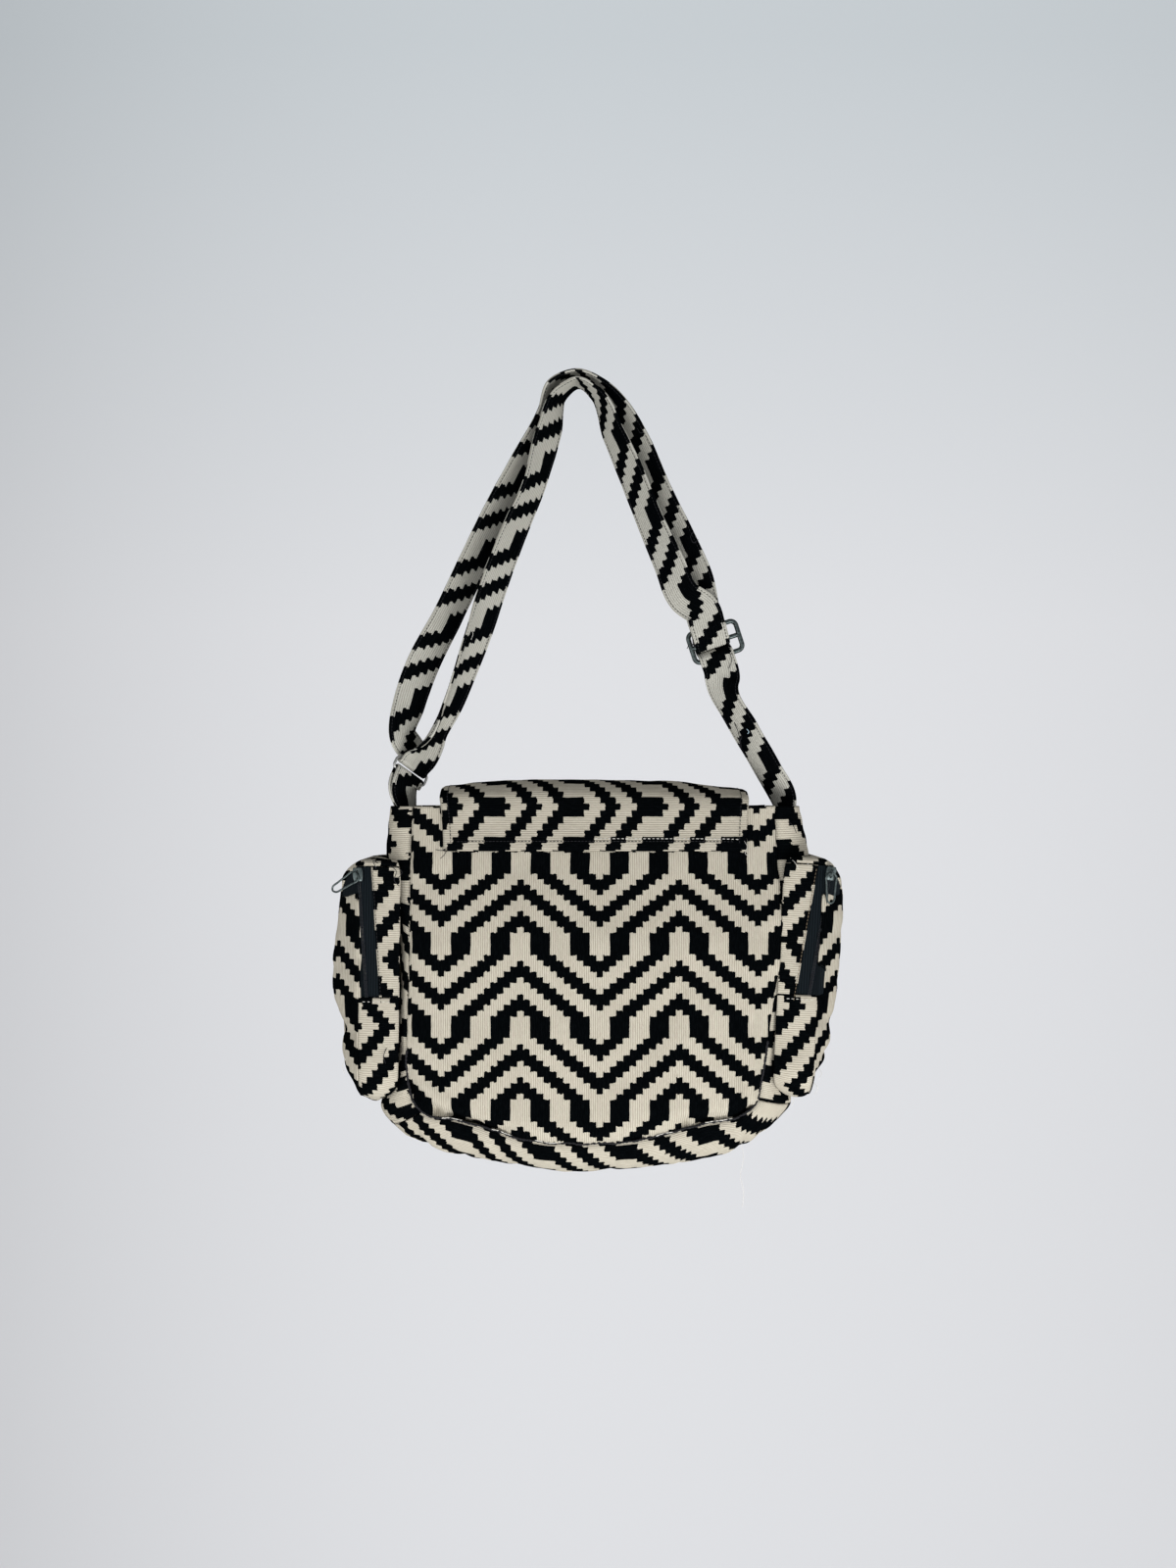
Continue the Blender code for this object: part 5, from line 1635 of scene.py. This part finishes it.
def looseEnds(word, cloth, radius):
    # The first point of each end moves onto the nearest cloth, the rest follows
    parts = []
    for line in sewing[word]:
        keys = np.array([atPixel(px, py, depth / 1000.0) for px, py, depth in line])
        keys = keys + np.array(cloth.find_nearest(Vector(keys[0]))[0]) - keys[0]
        parts.append(tubeAlong("end", throughPoints(keys, 7 * len(keys)), radius, thread[word], 5))
    return parts


def bagStitches():
    s = sewing
    sideRows = slice(*s["sideRows"])
    middle = flapGrid[:sideRows.stop, flapGrid.shape[1] // 2, 2]
    row = int(np.argmin(np.abs(middle - atPixel(*s["flapRow"])[2])))
    lines = [raised(flapGrid[row, slice(*s["rootColumns"])], s["lift"])]
    lines += [raised(flapGrid[sideRows, k], s["lift"]) for k in s["sideColumns"]]
    made = [stitchRows("flapStitches", lines, thread["black"], radius=s["flapRadius"])]
    # Thick black thread along the bottom seam: partly its stitched edge, partly painted shade in the crease
    seam = seamLine[slice(*s["seamSpan"])]
    depth = halfDepth(seam[:, 0], seam[:, 1]) - seamPinch(seam, seam[:, 1])
    wander = bumps(together(seam[:, 0], depth, seam[:, 1]), s["seamWander"], 71.0)
    line = together(seam[:, 0], s["seamSink"] - depth, seam[:, 1] + wander)
    made.append(stitchRows("seamEdge", [line], thread["black"], **s["seamShadeStitch"]))
    frays = [line[a:b] + np.array(s["frayOut"]) for a, b in s["fraySpans"]]
    made.append(stitchRows("seamFrays", frays, thread["white"], **s["frayStitch"]))
    white = [raised(flapGrid[row + 1, slice(*s["whiteColumns"])], s["lift"])]
    foot = pockets["zipBottom"] - s["footDrop"]
    for pocket in bothPockets:
        out = np.linspace(pocket.zipAt(foot) + 0.002, 0.010, 12)
        white.append(raised(pocket.place(out, -pocket.halfDepth, foot), s["footLift"]))
        rise = np.linspace(foot, pocket.zipTop - 0.004, 60)
        beside = pocket.zipAt(rise) - pocket.tapeWidth - s["besideTape"]
        lines = [raised(pocket.place(beside, -pocket.halfDepth, rise), s["besideLift"])]
        made.append(stitchRows(pocket.word + "ZipStitches", lines, thread[pocket.thread]))
    made.append(stitchRows("whiteStitches", white, thread["white"], **s["whiteStitch"]))
    cloth = clothTree()
    for word, radius in s["endRadius"].items():
        made += looseEnds(word, cloth, radius)
    return joined("bagStitches", made)


belong(bagStitches(), "ribbed_cotton")

print("room")
room = {
    "floorZ": -1.42,
    "wallY": 1.35,
    "bend": 0.9,
    "half": 4.0,
    "near": -3.5,
    "top": 3.2,
    "plain": (0.74, 0.75, 0.76),
    # the backdrop's glow, painted darker towards the top and the sides: colours low and high in the picture,
    # and how far it falls to the left and the right
    "low": (0.762, 0.770, 0.796),
    "high": (0.590, 0.636, 0.668),
    "leftFall": 0.20,
    "rightFall": 0.06,
    "pictureHalf": (0.483, 0.644),    # half the picture's width and height, 1 m from the camera
    "rise": (0.2, 0.75),
    "most": (1.6, 1.2),               # where the painted darkening stops: aside, up
    "seenShare": 0.85,
    "air": (0.93, 0.96, 1.0),
    "airStrength": 0.42,
    # place, aim, size, power
    "lamps": {"key": ((-0.5, -1.9, 0.1), (0, 0, -0.42), (1.5, 1.3), 6.6),
              "fill": ((1.5, -1.1, -0.6), (0.05, 0, -0.48), (1.6, 1.6), 14.0),
              "low": ((0.25, -1.0, -1.20), (0.03, 0, -0.52), (1.3, 0.6), 20.0),
              "side": ((-1.3, -0.9, -0.6), (-0.16, 0, -0.48), (0.9, 0.9), 8.0)},
}


def backdrop():
    made, tree = newMaterial("paleBackdrop")
    x = tree.add("ShaderNodeSeparateXYZ", None, {"Vector": tree.objectPlace()})
    # Painted light and shade on the backdrop's glow: shares of the picture's half width and half height,
    # darker towards the top and the left
    away = (x.output("Y") + 1.0).most(1.0)
    aside = (x - view["place"][0]) / away / room["pictureHalf"][0]
    height = (x.output("Z") - view["place"][2]) / away / room["pictureHalf"][1]
    farAside, farUp = room["most"]
    left = (0.0 - aside).most(0.0).least(farAside)
    right = aside.most(0.0).least(farAside)
    fall = 1.0 - left * left * room["leftFall"] - right * right * room["rightFall"]
    rise = ((height - room["rise"][0]) / room["rise"][1]).most(0.0).least(farUp)
    shade = tree.colours(rise, colour(room["low"]), colour(room["high"]))
    lit = tree.colours(fall, colour((0.0, 0.0, 0.0)), shade)
    plain = tree.add("ShaderNodeBsdfDiffuse", None, {"Color": colour(room["plain"])})
    seen = tree.add("ShaderNodeEmission", None, {"Color": lit, "Strength": 1.0})
    path = tree.add("ShaderNodeLightPath")
    share = path.most(path.output("Is Glossy Ray")) * room["seenShare"]
    both = tree.add("ShaderNodeMixShader", None, {0: share, 1: plain, 2: seen})
    tree.add("ShaderNodeOutputMaterial", None, {"Surface": both})
    bend = corner(room["wallY"] - room["bend"], room["floorZ"] + room["bend"], room["bend"], -math.pi / 2, 16)
    line = [(room["near"], room["floorZ"]), (0.0, room["floorZ"]), *bend, (room["wallY"], room["top"])]
    points = [(x, y, z) for y, z in line for x in (-room["half"], room["half"])]
    faces = [(2 * i, 2 * i + 1, 2 * i + 3, 2 * i + 2) for i in range(len(line) - 1)]
    meshObject("backdrop", points, faces, made)


def lamp(name, place, aim, size, power):
    light = bpy.data.lights.new(name, "AREA")
    light.shape = "RECTANGLE"
    light.size, light.size_y = size
    light.energy = power
    made = newObject(name, light)
    made.location = place
    made.rotation_euler = (Vector(aim) - Vector(place)).to_track_quat("-Z", "Y").to_euler()


backdrop()
for name, values in room["lamps"].items():
    lamp(name, *values)
world = bpy.data.worlds.new("room")
bpy.context.scene.world = world
world.use_nodes = True
world.node_tree.nodes["Background"].inputs["Color"].default_value = colour(room["air"])
world.node_tree.nodes["Background"].inputs["Strength"].default_value = room["airStrength"]

camera = bpy.data.cameras.new("camera")
camera.sensor_width = view["sensor"]
camera.lens = view["lens"]
eye = newObject("camera", camera)
eye.location = view["place"]
eye.rotation_euler = (math.pi / 2, 0.0, 0.0)
bpy.context.scene.camera = eye
bpy.context.scene.view_settings.view_transform = "Standard"

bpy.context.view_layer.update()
triangles = sum(len(p.vertices) - 2 for o in bpy.data.objects if o.type == "MESH" and not o.hide_render
                for p in o.data.polygons)
print("triangles", triangles)
